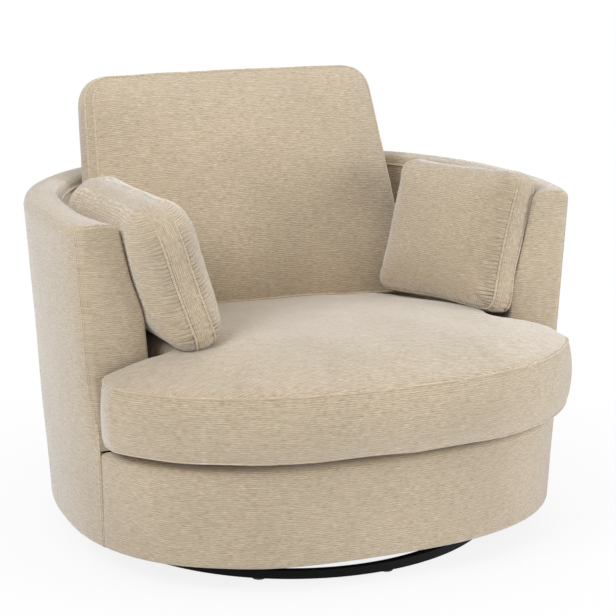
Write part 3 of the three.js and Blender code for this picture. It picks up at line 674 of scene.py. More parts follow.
def deck_panel(cloth):
    """Deck under the seat cushion: in front of the arms and in the well between the walls."""
    tub = settings("chair_tub")
    top, front_y = tub.ledge, tub.arm_face_y - 0.0003
    edge, wall = tub.hem / 2 - 0.004, wall_width(top) + INNER_GAP
    first, second = (float(angle_at_y(front_y, top, inset)) for inset in (edge, wall))
    front = tub_points(np.linspace(-math.pi - first, first, 60), top, edge)[:, :2]
    well = tub_points(np.linspace(second, math.pi - second, 90), top, wall)[:, :2]
    outline = np.vstack([front, well])
    obj = capped("deck_panel", np.stack([at_level(outline, top - drop) for drop in (0.0034, 0.0002)]), cloth)
    flat_weave(obj, lambda p: (p[:, 0], p[:, 1]))
    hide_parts("deck_cloth")
    return obj


# Cushion forms


def outline_distance(points, outline, closed=True):
    """Distance from an outline, evened out where two of its sides are near."""
    dense = resampled(outline, 0.0015, closed)
    step = arc_lengths(dense)[-1] / (len(dense) - 1)
    found = []
    for part in np.array_split(points, max(1, len(points) // 300)):
        square = ((part[:, None] - dense[None]) ** 2).sum(-1)
        nearest = np.sqrt(square.min(1))
        even = (2 / math.pi * (step / np.maximum(square, 1e-7) ** 2).sum(1)) ** (-1 / 3)
        found.append(np.where(nearest < 0.004, nearest, even))
    return np.concatenate(found)


def crown_share(distance, reach, fullness):
    return np.sin(np.minimum(distance / reach, 1) * math.pi / 2) ** fullness


def dome_share(distance, reach):
    """Rise of a plump face, steep at its seam."""
    return np.sqrt(1 - (1 - np.minimum(distance / reach, 1)) ** 2)


FACE_SHARES = (0.008, 0.02, 0.04, 0.07, 0.11, 0.16, 0.23, 0.32, 0.43, 0.56, 0.7, 0.85)


def cushion_form(name, outline, centre, levels, bulge, crown, floor):
    """Closed form from a flat outline, in the cushion's own frame."""
    outward, count = out_of(outline), len(outline)
    lower, upper = levels

    def face(shares, height):
        for share in shares:
            points = outline + (centre - outline) * share
            yield np.column_stack([points, height(points, outline_distance(points, outline))])

    rings = [*face(reversed(FACE_SHARES), floor)]
    for t in np.linspace(0, 1, 9):
        out = math.sin(math.pi * t) ** 0.83 * bulge(outline) if 0 < t < 1 else 0 * outline[:, 0]
        rings.append(at_level(outline + outward * out[:, None], lower + (upper - lower) * t))
    rings += face(FACE_SHARES, crown)
    points = np.vstack([*rings, rings[0].mean(0), rings[-1].mean(0)])
    faces = grid_faces(len(rings), count, False, True)
    top, last = (len(rings) - 1) * count, len(points) - 1
    for j in range(count):
        k = (j + 1) % count
        faces += [(last - 1, k, j), (last, top + j, top + k)]
    obj = new_object(name, points, faces)
    turned_out(obj)
    return obj, outline


def seat_outline(spacing):
    tub, seat = settings("chair_tub"), settings("chair_seat")
    wing_y, wing_x = tub.arm_face_y - seat.arm_gap, seat.wing_half_width
    turn_y = wing_y - seat.wing_round
    end = float(angle_at_y(turn_y, seat.upper_seam, -seat.overhang))
    front = tub_points(np.linspace(-math.pi / 2, end, 60), seat.upper_seam, -seat.overhang)[:, :2]
    front = front[front[:, 0] < wing_x]
    inset = wall_width(seat.underside) + seat.wall_gap
    first = float(angle_at_y(wing_y + seat.notch_round, seat.underside, inset))
    neck = tub_points(np.linspace(first, math.pi / 2, 60), seat.underside, inset)[:, :2]
    wing = curve_through((wing_x, turn_y), [((wing_x, wing_y), (wing_x - seat.wing_round, wing_y))], 10)
    notch = curve_through(
        (neck[0][0] + seat.notch_round, wing_y), [((neck[0][0], wing_y), tuple(neck[0]))], 8)
    right = np.vstack([front, wing, notch, neck[1:]])
    left = right[1:-1][::-1] * (-1, 1)
    whole = np.vstack([right, left])
    return resampled(np.roll(whole, 1 - len(right), axis=0), spacing, True)


def smooth_step(value, start, end):
    t = np.clip((value - start) / (end - start), 0, 1)
    return t * t * (3 - 2 * t)


def seat_form(spacing=0.008):
    tub, seat = settings("chair_tub"), settings("chair_seat")
    outline = seat_outline(spacing)
    wing_start = tub.arm_face_y - seat.arm_gap - seat.wing_round

    half = seat.wing_half_width
    fore = outline[outline[:, 1] < wing_start + seat.wing_round * 0.4]
    wings = outline[(outline[:, 1] >= wing_start) & (outline[:, 1] < wing_start + seat.wing_round + 0.002)]
    neck = outline[outline[:, 1] >= wing_start + seat.wing_round]
    fore = fore[np.argsort(np.arctan2(fore[:, 0], -fore[:, 1]))]
    neck = neck[np.argsort(np.arctan2(neck[:, 0], neck[:, 1] - wing_start))]
    wing_tree = point_tree(at_level(wings, 0))

    def bulge(points):
        forward = np.clip((wing_start - points[:, 1]) / seat.wing_round, 0, 1)
        outward = np.minimum(np.abs(points[:, 0]) / half, 1)
        front = seat.front_bulge + (seat.wing_bulge - seat.front_bulge) * outward
        return seat.wall_gap / 2 + (front - seat.wall_gap / 2) * forward

    def crown(points, distance):
        rear = smooth_step(points[:, 1], -0.170, 0.120)
        rise = seat.crown - (seat.rear_drop + seat.right_drop * smooth_step(points[:, 0], 0.0, 0.25)) * rear
        side = smooth_step(np.abs(points[:, 0]), 0.22, 0.42)
        full = seat.fullness + (seat.wing_fullness - seat.fullness) * side
        near = 0.026 - 0.010 * smooth_step(points[:, 0], 0.0, 0.25)
        reach = near + (seat.neck_reach - near) * smooth_step(points[:, 1], -0.20, -0.05)
        share = crown_share(outline_distance(points, fore, False), seat.crown_reach, full)
        share *= crown_share(nearest_in_plan(points, wing_tree)[1], seat.rear_reach, 0.5)
        share *= crown_share(outline_distance(points, neck, False), reach, 0.55)
        return pressed_down(seat.upper_seam + rise * share, points)

    def floor(points, distance):
        return seat.lower_seam - (seat.lower_seam - seat.underside) * np.minimum(1, distance / 0.060)

    levels = seat.lower_seam, seat.upper_seam
    return cushion_form("seat_pad", outline, np.array([0, wing_start]), levels, bulge, crown, floor)


# Line on which the right side cushion rests: its rear end, and its run outwards and upwards per metre forward
REST_X, REST_Y, REST_Z = 0.252, 0.100, 0.4115
REST_OUT, REST_UP = 0.242, 0.0800
# How steeply the seat rises beside that line and before its front end, where that end lies, and the softness
RISE_BESIDE, RISE_BEFORE, REST_END, SOFTNESS = 0.27, 0.5, -0.178, 0.005


def pressed_down(level, points):
    """Lowers the seat's top softly to the line on which the right side cushion rests."""
    x, y = points.T
    foot = REST_X + (REST_Y - y) * REST_OUT
    limit = REST_Z + (REST_Y - y) * REST_UP + RISE_BESIDE * (foot - x)
    limit += RISE_BEFORE * np.maximum(0, REST_END - y)
    return level - SOFTNESS * np.log1p(np.exp((level - limit) / SOFTNESS))


# Middle of the back cushion's foot, on its front seam
BACK_FOOT = (-0.020, 0.115, 0.400)


def back_matrix():
    back = settings("chair_back")
    lean = back.lean
    across = Vector((1, 0, 0))
    upward = Vector((0, math.sin(lean), math.cos(lean)))
    forward = across.cross(upward)
    turned = Matrix((across, upward, forward)).transposed().to_4x4()
    return Matrix.Translation(BACK_FOOT) @ turned


def moved(points, matrix):
    m = np.array(matrix)
    return points @ m[:3, :3].T + m[:3, 3]


def back_form(spacing=0.008):
    tub, back = settings("chair_tub"), settings("chair_back")
    foot, top, high, c, f = back.foot_half, back.top_half, back.height, back.corner, back.foot_corner
    middle = (foot + top) / 2 - back.draw_in
    outline = curve_through((0, 0), [
        (((foot - f) / 2, 0), (foot - f, 0)), ((foot, 0), (foot, f)),
        ((middle, high / 2), (top, high - c)), ((top, high), (top - c, high)),
        ((0, high + back.draw_in), (-top + c, high)), ((-top, high), (-top, high - c)),
        ((-middle, high / 2), (-foot, f)), ((-foot, 0), (-foot + f, 0)),
        ((-(foot - f) / 2, 0), (0, 0)),
    ])[:-1]
    outline = resampled(outline, spacing, True)
    rim = tub_points(np.linspace(0, math.pi, 400), tub.rim_height - tub.rim_inner_round, tub.rim_width)
    rim = moved(rim, back_matrix().inverted())
    rim = rim[np.argsort(rim[:, 0])]

    def crown(points, distance):
        return back.crown * crown_share(distance, back.crown_reach, 0.8)

    def floor(points, distance):
        full = -np.interp(points[:, 0], rim[:, 0], rim[:, 2]) - 0.0015 - back.boxing
        return -back.boxing - np.maximum(0, full) * crown_share(distance, back.crown_reach, 0.8)

    centre = np.array([0, high * 0.55])
    levels = -back.boxing, 0.0
    return cushion_form("back_pad", outline, centre, levels, lambda p: back.bulge + 0 * p[:, 0], crown, floor)


def side_form(side_name, spacing=0.006):
    side, shape = settings("chair_side"), SIDE_SHAPES[side_name]
    x, y = (size / 2 for size in shape["size"])
    c, d = shape["corner"], side.draw_in
    k = shape["top_corner"]
    outline = curve_through((-x + c, -y), [
        ((0, -y + d), (x - c, -y)), ((x, -y), (x, -y + c)),
        ((x - d, 0), (x, y - k)), ((x, y), (x - k, y)),
        ((0, y - d), (-x + k, y)), ((-x, y), (-x, y - k)),
        ((-x + d, 0), (-x, -y + c)), ((-x, -y), (-x + c, -y)),
    ])[:-1]
    outline = resampled(outline, spacing, True)
    lower, upper = shape["levels"]
    below, above = shape["crowns"]

    def crown(points, distance):
        return upper + above * dome_share(distance, side.crown_reach)

    def floor(points, distance):
        return lower - below * (1 + shape["high"] * points[:, 1] / y) * dome_share(distance, side.crown_reach)

    return cushion_form(f"side_pad_{side_name}", outline, np.zeros(2), shape["levels"],
                        lambda p: side.bulge + 0 * p[:, 0], crown, floor)


# Each side cushion: its hand, centre, yaw, lean and roll
SIDE_PLACES = {
    "left": (-1, (-0.3225, -0.092, 0.564), -5.0, 19.0, 0.0),
    "right": (1, (0.3320, -0.0580, 0.5535), 12.6, 16.4, 3.1),
}
# Its length and height, the gusset between its seams, the rise of its faces, how much the lower face
# is fuller at the top, and its corners
SIDE_SHAPES = {
    "left": {"size": (0.410, 0.284), "levels": (-0.007, 0.032), "crowns": (0.056, 0.058), "high": 0.16,
             "corner": 0.040, "top_corner": 0.078},
    "right": {"size": (0.358, 0.279), "levels": (-0.022, 0.0235), "crowns": (0.030, 0.044), "high": 0.0,
              "corner": 0.030, "top_corner": 0.036},
}


def side_matrix(side):
    hand, place, yaw, lean, roll = SIDE_PLACES[side]
    turned, tilt = math.radians(yaw), math.radians(lean)
    length = Vector((hand * math.sin(turned), -math.cos(turned), 0))
    inward = Vector((-hand * math.cos(turned), -math.sin(turned), 0))
    height = Vector((0, 0, math.cos(tilt))) - inward * math.sin(tilt)
    normal = length.cross(height)
    basis = Matrix((length, height, normal)).transposed().to_4x4()
    return Matrix.Translation(place) @ basis @ Matrix.Rotation(math.radians(roll), 4, "Z")


# Filling and sewing of the cushions


def point_tree(points):
    tree = KDTree(len(points))
    for i, p in enumerate(points):
        tree.insert(p, i)
    tree.balance()
    return tree


def nearest_in_plan(points, tree):
    """Index and distance of the nearest of a flat outline's points."""
    found = [tree.find((p[0], p[1], 0)) for p in points]
    return np.array([f[1] for f in found]), np.array([f[2] for f in found])


def seam_tree(loops):
    """Tree of a cushion's seam points, with the distance along the seam of each."""
    points = np.vstack(loops)
    along = np.concatenate([arc_lengths(loop) + n * 10.0 for n, loop in enumerate(loops)])
    return point_tree(points), along


def seam_field(points, loops):
    tree, along = seam_tree([resampled(p, 0.003, True) for p in loops])
    found = [tree.find(p) for p in points]
    return np.array([f[2] for f in found]), along[[f[1] for f in found]]


def start_form(obj, depth):
    """Draws a form in along its normals, so that it has room to fill."""
    set_coordinates(obj, coordinates(obj) - normals(obj) * depth)


def remesh(obj, voxel):
    modifier = obj.modifiers.new("Remesh", "REMESH")
    modifier.mode = "VOXEL"
    modifier.voxel_size = voxel
    apply_modifiers(obj)
    obj.data.shade_smooth()


def hold_seams(obj, loops, radius):
    distance, _ = seam_field(coordinates(obj), loops)
    group = obj.vertex_groups.new(name="held")
    group.add([int(i) for i in np.nonzero(distance < radius)[0]], 1.0, "REPLACE")


def fill(pads):
    """Fills all the cushions at once by cloth pressure, and gives each its new points."""
    soft, scene = settings("chair_soft"), bpy.context.scene
    before = [coordinates(p) for p in pads]
    for pad in pads:
        modifier = pad.modifiers.new("Cloth", "CLOTH")
        modifier.point_cache.frame_end = soft.frames
        cloth = modifier.settings
        cloth.quality = 4
        cloth.mass = 0.3
        cloth.tension_stiffness = cloth.compression_stiffness = 18
        cloth.shear_stiffness = 6
        cloth.bending_stiffness = 0.6
        cloth.use_pressure = True
        cloth.uniform_pressure_force = soft.pressure
        cloth.vertex_group_mass = "held"
        cloth.effector_weights.gravity = 0
    for step in range(1, soft.frames + 1):
        scene.frame_set(step)
    graph = bpy.context.evaluated_depsgraph_get()
    filled = []
    for pad, old in zip(pads, before):
        mesh = pad.evaluated_get(graph).to_mesh()
        points = np.empty(len(mesh.vertices) * 3)
        mesh.vertices.foreach_get("co", points)
        pad.evaluated_get(graph).to_mesh_clear()
        step = points.reshape(-1, 3) - old
        size = np.linalg.norm(step, axis=1)[:, None]
        filled.append(old + step * np.minimum(1, soft.cap / np.maximum(size, 1e-9)))
    for pad, points in zip(pads, filled):
        pad.modifiers.clear()
        set_coordinates(pad, points)
    scene.frame_set(1)


def fit_to_form(obj, form_tree):
    """Keeps the filled cloth close to the form that the frame gives it."""
    soft = settings("chair_soft")
    points = coordinates(obj)
    for i, p in enumerate(points):
        place, normal, _, _ = form_tree.find_nearest(p)
        height = (Vector(p) - place).dot(normal)
        wanted = min(max(height, -soft.sunk), soft.proud)
        if wanted != height:
            points[i] = place + normal * wanted
    set_coordinates(obj, points)


def relax(obj, rounds, strength=0.5):
    """Evens out the mesh towards the mean of each point's neighbours."""
    a, b = fetched(obj.data.edges, "vertices", 2, int).T
    points = coordinates(obj)
    count = np.bincount(np.concatenate([a, b]), minlength=len(points))[:, None]
    for _ in range(rounds):
        total = np.zeros_like(points)
        np.add.at(total, a, points[b])
        np.add.at(total, b, points[a])
        points = points + strength * (total / count - points)
    set_coordinates(obj, points)


def subdivide(obj):
    modifier = obj.modifiers.new("Subdivision", "SUBSURF")
    modifier.levels = modifier.render_levels = 1
    apply_modifiers(obj)
    obj.data.shade_smooth()


def gathers(along, rng, waves=(0.0085, 0.012, 0.019)):
    total = 0
    for wave in waves:
        strength = 0.6 + 0.4 * np.sin(along * 2 * math.pi / rng.uniform(0.11, 0.23) + rng.uniform(0, 6.3))
        wander = 0.5 * np.sin(along * 2 * math.pi / 0.07 + rng.uniform(0, 6.3))
        fold = np.sin(along * math.pi / wave + wander + rng.uniform(0, 6.3))
        total = total + strength * (1.2 - 2.4 * np.abs(fold) ** 1.4)
    return total / len(waves)


def sew(obj, spec):
    """Draws the cloth down at its seams and gathers it beside them; gives the pull at each point."""
    seams, soft, end = settings("chair_seams"), settings("chair_soft"), spec["seam_top"]
    points, outward = coordinates(obj), normals(obj)
    distance, along = seam_field(points, spec["loops"])
    rng = np.random.default_rng(soft.seed)
    shown = 1 - smooth_step(points[:, 1], end - 0.04, end)
    groove = seams.groove * np.exp(-((distance / seams.groove_width) ** 2)) * (0.15 + 0.85 * shown)
    pull = np.exp(-distance / spec["reach"]) * np.minimum(distance / 0.004, 1) * (0.25 + 0.75 * shown)
    if spec["is_side"]:
        pull = pull * (1 + corner_gathers(points, spec["outline"]))
    lift = spec["gather"] * pull * gathers(along, rng) - groove
    lift += soft_waves(points, 0.09, 0.0016)
    set_coordinates(obj, points + outward * lift[:, None])
    return pull


def cushion_weave(obj, spec, pull):
    """Weave map of a cushion, straight on its faces and along its boxing, and the map of its seam folds."""
    outline, (lower, upper) = spec["outline"], spec["levels"]
    local = moved(coordinates(obj), spec["matrix"].inverted())
    nearest, _ = nearest_in_plan(local, point_tree(at_level(outline, 0)))
    beside = ((local[:, :2] - outline[nearest]) * along_of(outline)[nearest]).sum(1)
    along = arc_lengths(outline)[nearest] + np.clip(beside, -0.02, 0.02)
    total, index = fetched(obj.data.polygons, "loop_total", kind=int), corner_points(obj)
    start = np.concatenate([[0], np.cumsum(total)[:-1]])
    height = np.add.reduceat(local[index, 2], start) / total
    boxing = np.repeat((height > lower) & (height < upper), total)
    strip = np.stack([along[index], local[index, 2]], 1)
    if spec["body"] == "back":
        strip = strip[:, ::-1]
    lay_map(obj, "weave", np.where(boxing[:, None], strip, local[index, :2]))
    if spec["is_side"]:
        lay_map(obj, "folds", np.stack([along[index], pull[index] * np.where(boxing, GUSSET_FOLDS, 1.0)], 1))


# Share of the folds that a gusset keeps, how far up a side cushion's seams show, and past every outline
GUSSET_FOLDS, SIDE_SEAM_TOP, NO_END = 0.3, 0.112, 9.0


def cushion_specs():
    """What each cushion is made from: form, place, node, seam levels, voxel, size and reach of gathers."""
    seat, back = settings("chair_seat"), settings("chair_back")
    rows = [
        ("seat", seat_form(), Matrix.Identity(4), "seat_cushion", (seat.lower_seam, seat.upper_seam),
         0.0085, 0.0003, 0.020),
        ("back", back_form(), back_matrix(), "back_cushion", (-back.boxing, 0.0), 0.0060, 0.0006, 0.018),
    ]
    rows += [(f"side_{hand}", side_form(hand), side_matrix(hand), f"side_cushion_{hand}",
              shape["levels"], 0.0042, 0.0016, 0.018) for hand, shape in SIDE_SHAPES.items()]
    specs = []
    for body, (form, outline), matrix, node, levels, voxel, gather, reach in rows:
        is_side = body.startswith("side")
        specs.append(dict(
            body=body, form=form, outline=outline, matrix=matrix, node=node, levels=levels, voxel=voxel,
            gather=gather, reach=reach, is_side=is_side, seam_top=SIDE_SEAM_TOP if is_side else NO_END,
            loops=[at_level(outline, level) for level in levels], tree=surface_tree(form)))
    return specs


def build_cushions(cloth):
    """Forms, filling, sewing and weave maps of the four cushions."""
    specs = cushion_specs()
    for spec in specs:
        form = spec["form"]
        remesh(form, spec["voxel"])
        hold_seams(form, spec["loops"], spec["voxel"] * 0.9)
        start_form(form, 0.004)
    fill([spec["form"] for spec in specs])
    made = {}
    for spec in specs:
        pad, body = spec["form"], spec["body"]
        fit_to_form(pad, spec["tree"])
        relax(pad, 2)
        subdivide(pad)
        pull = sew(pad, spec)
        set_coordinates(pad, moved(coordinates(pad), spec["matrix"]))
        if body == "seat":
            sag_front(pad)
        elif body == "back":
            clear_of_seat(pad, made["seat"][0], 0.001)
            clear_of_wall(pad, 0.0015)
        else:
            clear_of_back(pad)
            clear_of_wall(pad, 0.0010)
            clear_of_seat(pad, made["seat"][0], 0.0008)
        cushion_weave(pad, spec, pull)
        pad.vertex_groups.clear()
        pad.data.materials.append(cloth)
        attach(pad, spec["body"])
        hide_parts(spec["node"])
        made[body] = (pad, spec)
    return made


def sag_front(obj):
    """Lets the lower edge of the seat's front sag in front of the tub."""
    seat = settings("chair_seat")
    points = coordinates(obj)
    away, wall, _ = plan_reach(points, seat.lower_seam, 0.0)
    right = smooth_step(points[:, 0], -0.05, 0.25) * (1 - smooth_step(points[:, 0], 0.40, 0.47))
    waves = np.array([noise.noise(Vector((p[0] * 9, 0.3, 0.0))) for p in points])
    low = 1 - smooth_step(points[:, 2], seat.lower_seam, seat.upper_seam)
    sag = (seat.droop * right + 0.003 * (waves + 0.3)) * low
    points[:, 2] -= sag * smooth_step(away - wall, 0.001, 0.008)
    set_coordinates(obj, points)


def plan_reach(points, z, inset):
    """Distance of points from the plan's middle, that of the drawn-in plan the same way, and the middle."""
    middle = np.array([0, settings("chair_tub").widest_y])
    away = points[:, :2] - middle
    aim = np.arctan2(away[:, 1], away[:, 0])
    angle = aim.copy()
    for _ in range(5):
        wall = tub_points(angle, z, inset)[:, :2] - middle
        angle = angle + (aim - np.arctan2(wall[:, 1], wall[:, 0]) + math.pi) % (2 * math.pi) - math.pi
    wall = tub_points(angle, z, inset)[:, :2] - middle
    return np.linalg.norm(away, axis=1), np.linalg.norm(wall, axis=1), middle


def corner_gathers(points, outline):
    """Stronger gathers at a side cushion's lower front corner."""
    away = np.hypot(points[:, 0] - outline[:, 0].max(), points[:, 1] - outline[:, 1].min())
    return 1.5 * np.exp(-((away / 0.048) ** 2))


def clear_of_seat(obj, seat, gap):
    """Rests a cushion's points on the seat where they would sink into it."""
    tree, points = surface_tree(seat), coordinates(obj)
    for i, p in enumerate(points):
        if p[2] > 0.46:
            continue
        hit = tree.ray_cast(Vector((p[0], p[1], 0.6)), Vector((0, 0, -1)))[0]
        if hit is not None and p[2] < hit.z + gap:
            points[i][2] = hit.z + gap
    set_coordinates(obj, points)


def clear_of_back(obj):
    """Keeps a side cushion in front of the plane that the back cushion's front sweeps."""
    back = settings("chair_back")
    matrix = back_matrix()
    local = moved(coordinates(obj), matrix.inverted())
    local[:, 2] = np.maximum(local[:, 2], back.crown + 0.0012)
    set_coordinates(obj, moved(local, matrix))


def clear_of_wall(obj, gap):
    """Keeps a cushion inside the padded wall."""
    tub = settings("chair_tub")
    points = coordinates(obj)
    low = points[:, 2] < tub.rim_height
    y, z = points[low, 1], points[low, 2]
    r = tub.rim_inner_round
    rise = np.clip(z - (tub.rim_height - r), 0, r)
    inset = wall_width(z) - (r - np.sqrt(r * r - rise * rise)) + gap
    inner, outer, middle = plan_reach(points[low], z, inset + arm_padding(z) * arm_share(y))
    before_arms = np.maximum(0, tub.arm_face_y - gap - y)
    share = np.minimum(1, (outer + 0.8 * before_arms) / inner)
    points[low, :2] = middle + (points[low, :2] - middle) * share[:, None]
    set_coordinates(obj, points)


# Seams and stitches


class Nodes:
    """Small helper that adds and links the nodes of one tree."""

    def __init__(self, tree):
        self.tree = tree

    def add(self, kind, inputs=None, **values):
        node = self.tree.nodes.new(kind)
        for key, value in values.items():
            setattr(node, key, value)
        for key, value in (inputs or {}).items():
            self.put(node.inputs[key], value)
        return node

    def put(self, socket, value):
        if isinstance(value, bpy.types.Node):
            value = value.outputs[0]
        if isinstance(value, bpy.types.NodeSocket):
            self.tree.links.new(value, socket)
        else:
            socket.default_value = value

    def math(self, operation, *values):
        return self.add("ShaderNodeMath", dict(enumerate(values)), operation=operation).outputs[0]

    def seen_directly(self):
        """1 for what the camera, a reflection or a view through glass meets."""
        path = self.add("ShaderNodeLightPath").outputs
        seen = self.math("MAXIMUM", path["Is Camera Ray"], path["Is Glossy Ray"])
        return self.math("MAXIMUM", seen, path["Is Transmission Ray"])


class PathTree(Nodes):
    """Geometry node tree that makes one material's pieces along a path, with its sizes as inputs."""

    def __init__(self, name, *sizes):
        super().__init__(bpy.data.node_groups.new(name, "GeometryNodeTree"))
        sockets = [("Path", "Geometry"), *((size, "Float") for size in sizes), ("Material", "Material")]
        for label, kind in sockets:
            self.tree.interface.new_socket(label, in_out="INPUT", socket_type="NodeSocket" + kind)
        self.tree.interface.new_socket("Geometry", in_out="OUTPUT", socket_type="NodeSocketGeometry")
        self.source = self.add("NodeGroupInput").outputs
        self.curve = self.add("GeometryNodeMeshToCurve", {"Mesh": self.source["Path"]})

    def smooth(self, shape):
        return self.add("GeometryNodeSetShadeSmooth", {"Geometry": shape})

    def close(self, shape):
        """Makes the pieces real, gives them their material and ends the tree."""
        real = self.add("GeometryNodeRealizeInstances", {"Geometry": shape})
        paint = self.add("GeometryNodeSetMaterial", {"Geometry": real, "Material": self.source["Material"]})
        self.add("NodeGroupOutput", {"Geometry": paint})
        return self.tree


def welt_tree():
    """Round welt along a path."""
    t = PathTree("welt", "Radius")
    ring = t.add("GeometryNodeCurvePrimitiveCircle", {"Resolution": 8, "Radius": t.source["Radius"]})
    tube = t.add("GeometryNodeCurveToMesh", {"Curve": t.curve, "Profile Curve": ring, "Fill Caps": True})
    return t.close(t.smooth(tube))


def stitch_tree():
    """Row of thread stitches along a path."""
    t = PathTree("stitches", "Pitch", "Length", "Thread")
    pitch, length, thread = (t.source[size] for size in ("Pitch", "Length", "Thread"))
    spaced = t.add("GeometryNodeResampleCurve", {"Curve": t.curve, "Length": pitch}, mode="LENGTH")
    aim = t.add("FunctionNodeAlignRotationToVector", {"Vector": t.add("GeometryNodeInputTangent")}, axis="X")
    bead = t.add("GeometryNodeMeshUVSphere", {"Segments": 6, "Rings": 4, "Radius": 1.0})
    half = t.math("MULTIPLY", length, 0.5)
    sizes = t.add("ShaderNodeCombineXYZ", {"X": half, "Y": thread, "Z": thread})
    shape = t.smooth(t.add("GeometryNodeTransform", {"Geometry": bead, "Scale": sizes}))
    return t.close(t.add("GeometryNodeInstanceOnPoints", {
        "Points": spaced, "Rotation": aim, "Instance": shape}))


PATH_TREES = {"welt": welt_tree, "stitches": stitch_tree}


def along_paths(name, kind, paths, body, values):
    """Runs a tree on a set of paths, each given as its points and whether it is closed."""
    points, edges = [], []
    for path, closed in paths:
        start, count = len(points), len(path)
        points += [tuple(p) for p in path]
        edges += [(start + i, start + i + 1) for i in range(count - 1)]
        if closed:
            edges.append((start + count - 1, start))
    obj = new_object(name, points, [], edges=edges)
    modifier = obj.modifiers.new("Path", "NODES")
    modifier.node_group = bpy.data.node_groups.get(kind) or PATH_TREES[kind]()
    for item in modifier.node_group.interface.items_tree:
        if item.in_out == "INPUT" and item.name in values:
            modifier[item.identifier] = values[item.name]
    apply_modifiers(obj)
    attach(obj, body)
    return obj


def lay_welt(name, paths, body, radius, fold):
    # The welts get the paler copy of the cloth, a painted highlight
    obj = along_paths(name, "welt", paths, body, {"Radius": radius, "Material": fold})
    flat_weave(obj, lambda p: (p[:, 0] + p[:, 1], p[:, 2]))


def lay_stitches(name, paths, body, thread):
    seams = settings("chair_seams")
    along_paths(name, "stitches", paths, body, {
        "Pitch": seams.stitch_pitch, "Length": seams.stitch_length, "Thread": seams.thread_radius,
        "Material": thread})


def laid_on(path, tree, lift):
    """Lays a path on a surface, a little above it."""
    found = [tree.find_nearest(Vector(p)) for p in path]
    return np.array([tuple(place + normal * lift) for place, normal, _, _ in found])


def smoothed(path, closed, rounds=2):
    for _ in range(rounds):
        before, after = np.roll(path, 1, axis=0), np.roll(path, -1, axis=0)
        new = 0.5 * path + 0.25 * (before + after)
        if not closed:
            new[0], new[-1] = path[0], path[-1]
        path = new
    return path


def shown_run(path, along, end):
    """The run of a closed seam up to where it fades, and whether it is still closed."""
    kept = along < end
    if kept.all():
        return path, True
    first = int(np.nonzero(kept & ~np.roll(kept, 1))[0][0])
    return np.roll(path, -first, axis=0)[: int(kept.sum())], False


# How far welts and stitches are laid above the cloth, and how deep the folds beside an arm's seam lie
WELT_LIFT, STITCH_LIFT, FOLD_INSET = 0.0002, 0.0003, 0.0004


def cushion_seams(made, fold, thread):
    """Welts and stitch rows round the cushions."""
    seams = settings("chair_seams")
    for body, (pad, spec) in made.items():
        tree, welts, rows = surface_tree(pad), [], []
        outline = resampled(spec["outline"], 0.004, True)
        normal, middle = out_of(outline), sum(spec["levels"]) / 2

        def lay(runs, flat, level, along, end, lift):
            path, closed = shown_run(at_level(flat, level), along, end)
            path = laid_on(moved(path, spec["matrix"]), tree, lift)
            runs.append((smoothed(path, closed), closed))

        for level in spec["levels"]:
            toward = math.copysign(seams.row_offset, level - middle)
            lay(welts, outline, level, outline[:, 1], spec["seam_top"], WELT_LIFT)
            if body != "seat":
                inside = outline - normal * seams.row_offset * 0.8
                lay(rows, inside, level + toward, inside[:, 1], spec["seam_top"], STITCH_LIFT)
                lay(rows, outline, level - toward, outline[:, 1], spec["seam_top"], STITCH_LIFT)
        if body == "back":
            band = outline - normal * seams.back_band
            lay(welts, band, 0.0, band[:, 0], seams.band_end, WELT_LIFT)
        lay_welt(f"{pad.name}_welt", welts, body, seams.welt_radius, fold)
        if rows:
            lay_stitches(f"{pad.name}_stitches", rows, body, thread)


def tub_seams(outer, arms, fold, thread):
    """Welts on the arms' seams, down to the hem and under the rim, and the stitched edge of each arm."""
    tub, seams = settings("chair_tub"), settings("chair_seams")
    levels = line(tub.bottom + 0.004, tub.ledge, 40)
    path = arm_outline()[:100]
    into = out_of(arm_outline())[:100]
    inset, z = path.T
    turn = arm_edge(inset, z)[3]
    step = seams.row_offset / tub.edge_depth
    sides = [edge_ring(inset, z, into, turn + step * way) for way in (-1.25, 1.6)]
    folds, welts, stitches = [], [], []
    for way in (-0.5, 0.5):
        beside = seam_y(levels) - way * seams.row_offset
        foot = tub_points(angle_at_y(beside, levels, FOLD_INSET), levels, FOLD_INSET)
        whole = np.vstack([foot, edge_ring(inset, z, into, turn + step * way, FOLD_INSET)[3:]])
        whole[-1, 2] -= 0.003
        folds.append(whole)
    for hand, arm in zip((-1, 1), arms):
        welts += [(smoothed(whole * (hand, 1, 1), False), False) for whole in folds]
        for side, piece in zip(sides, (outer, arm)):
            stitches.append((laid_on(side[2:-8] * (hand, 1, 1), surface_tree(piece), STITCH_LIFT), False))
    z = tub.rim_height - tub.rim_seam - 0.0002
    inset = wall_width(z) + INNER_GAP
    start = float(angle_at_y(tub.arm_face_y + 0.009, z, inset + arm_padding(z)))
    angles = np.linspace(start, math.pi - start, 320)
    inset = inset + arm_padding(z) * arm_share(tub_points(angles, z, inset)[:, 1])
    welts.append((tub_points(angles, z, inset), False))
    lay_welt("tub_welt", welts, "chair", seams.arm_welt, fold)
    lay_stitches("arm_stitches", stitches, "chair", thread)


# Materials


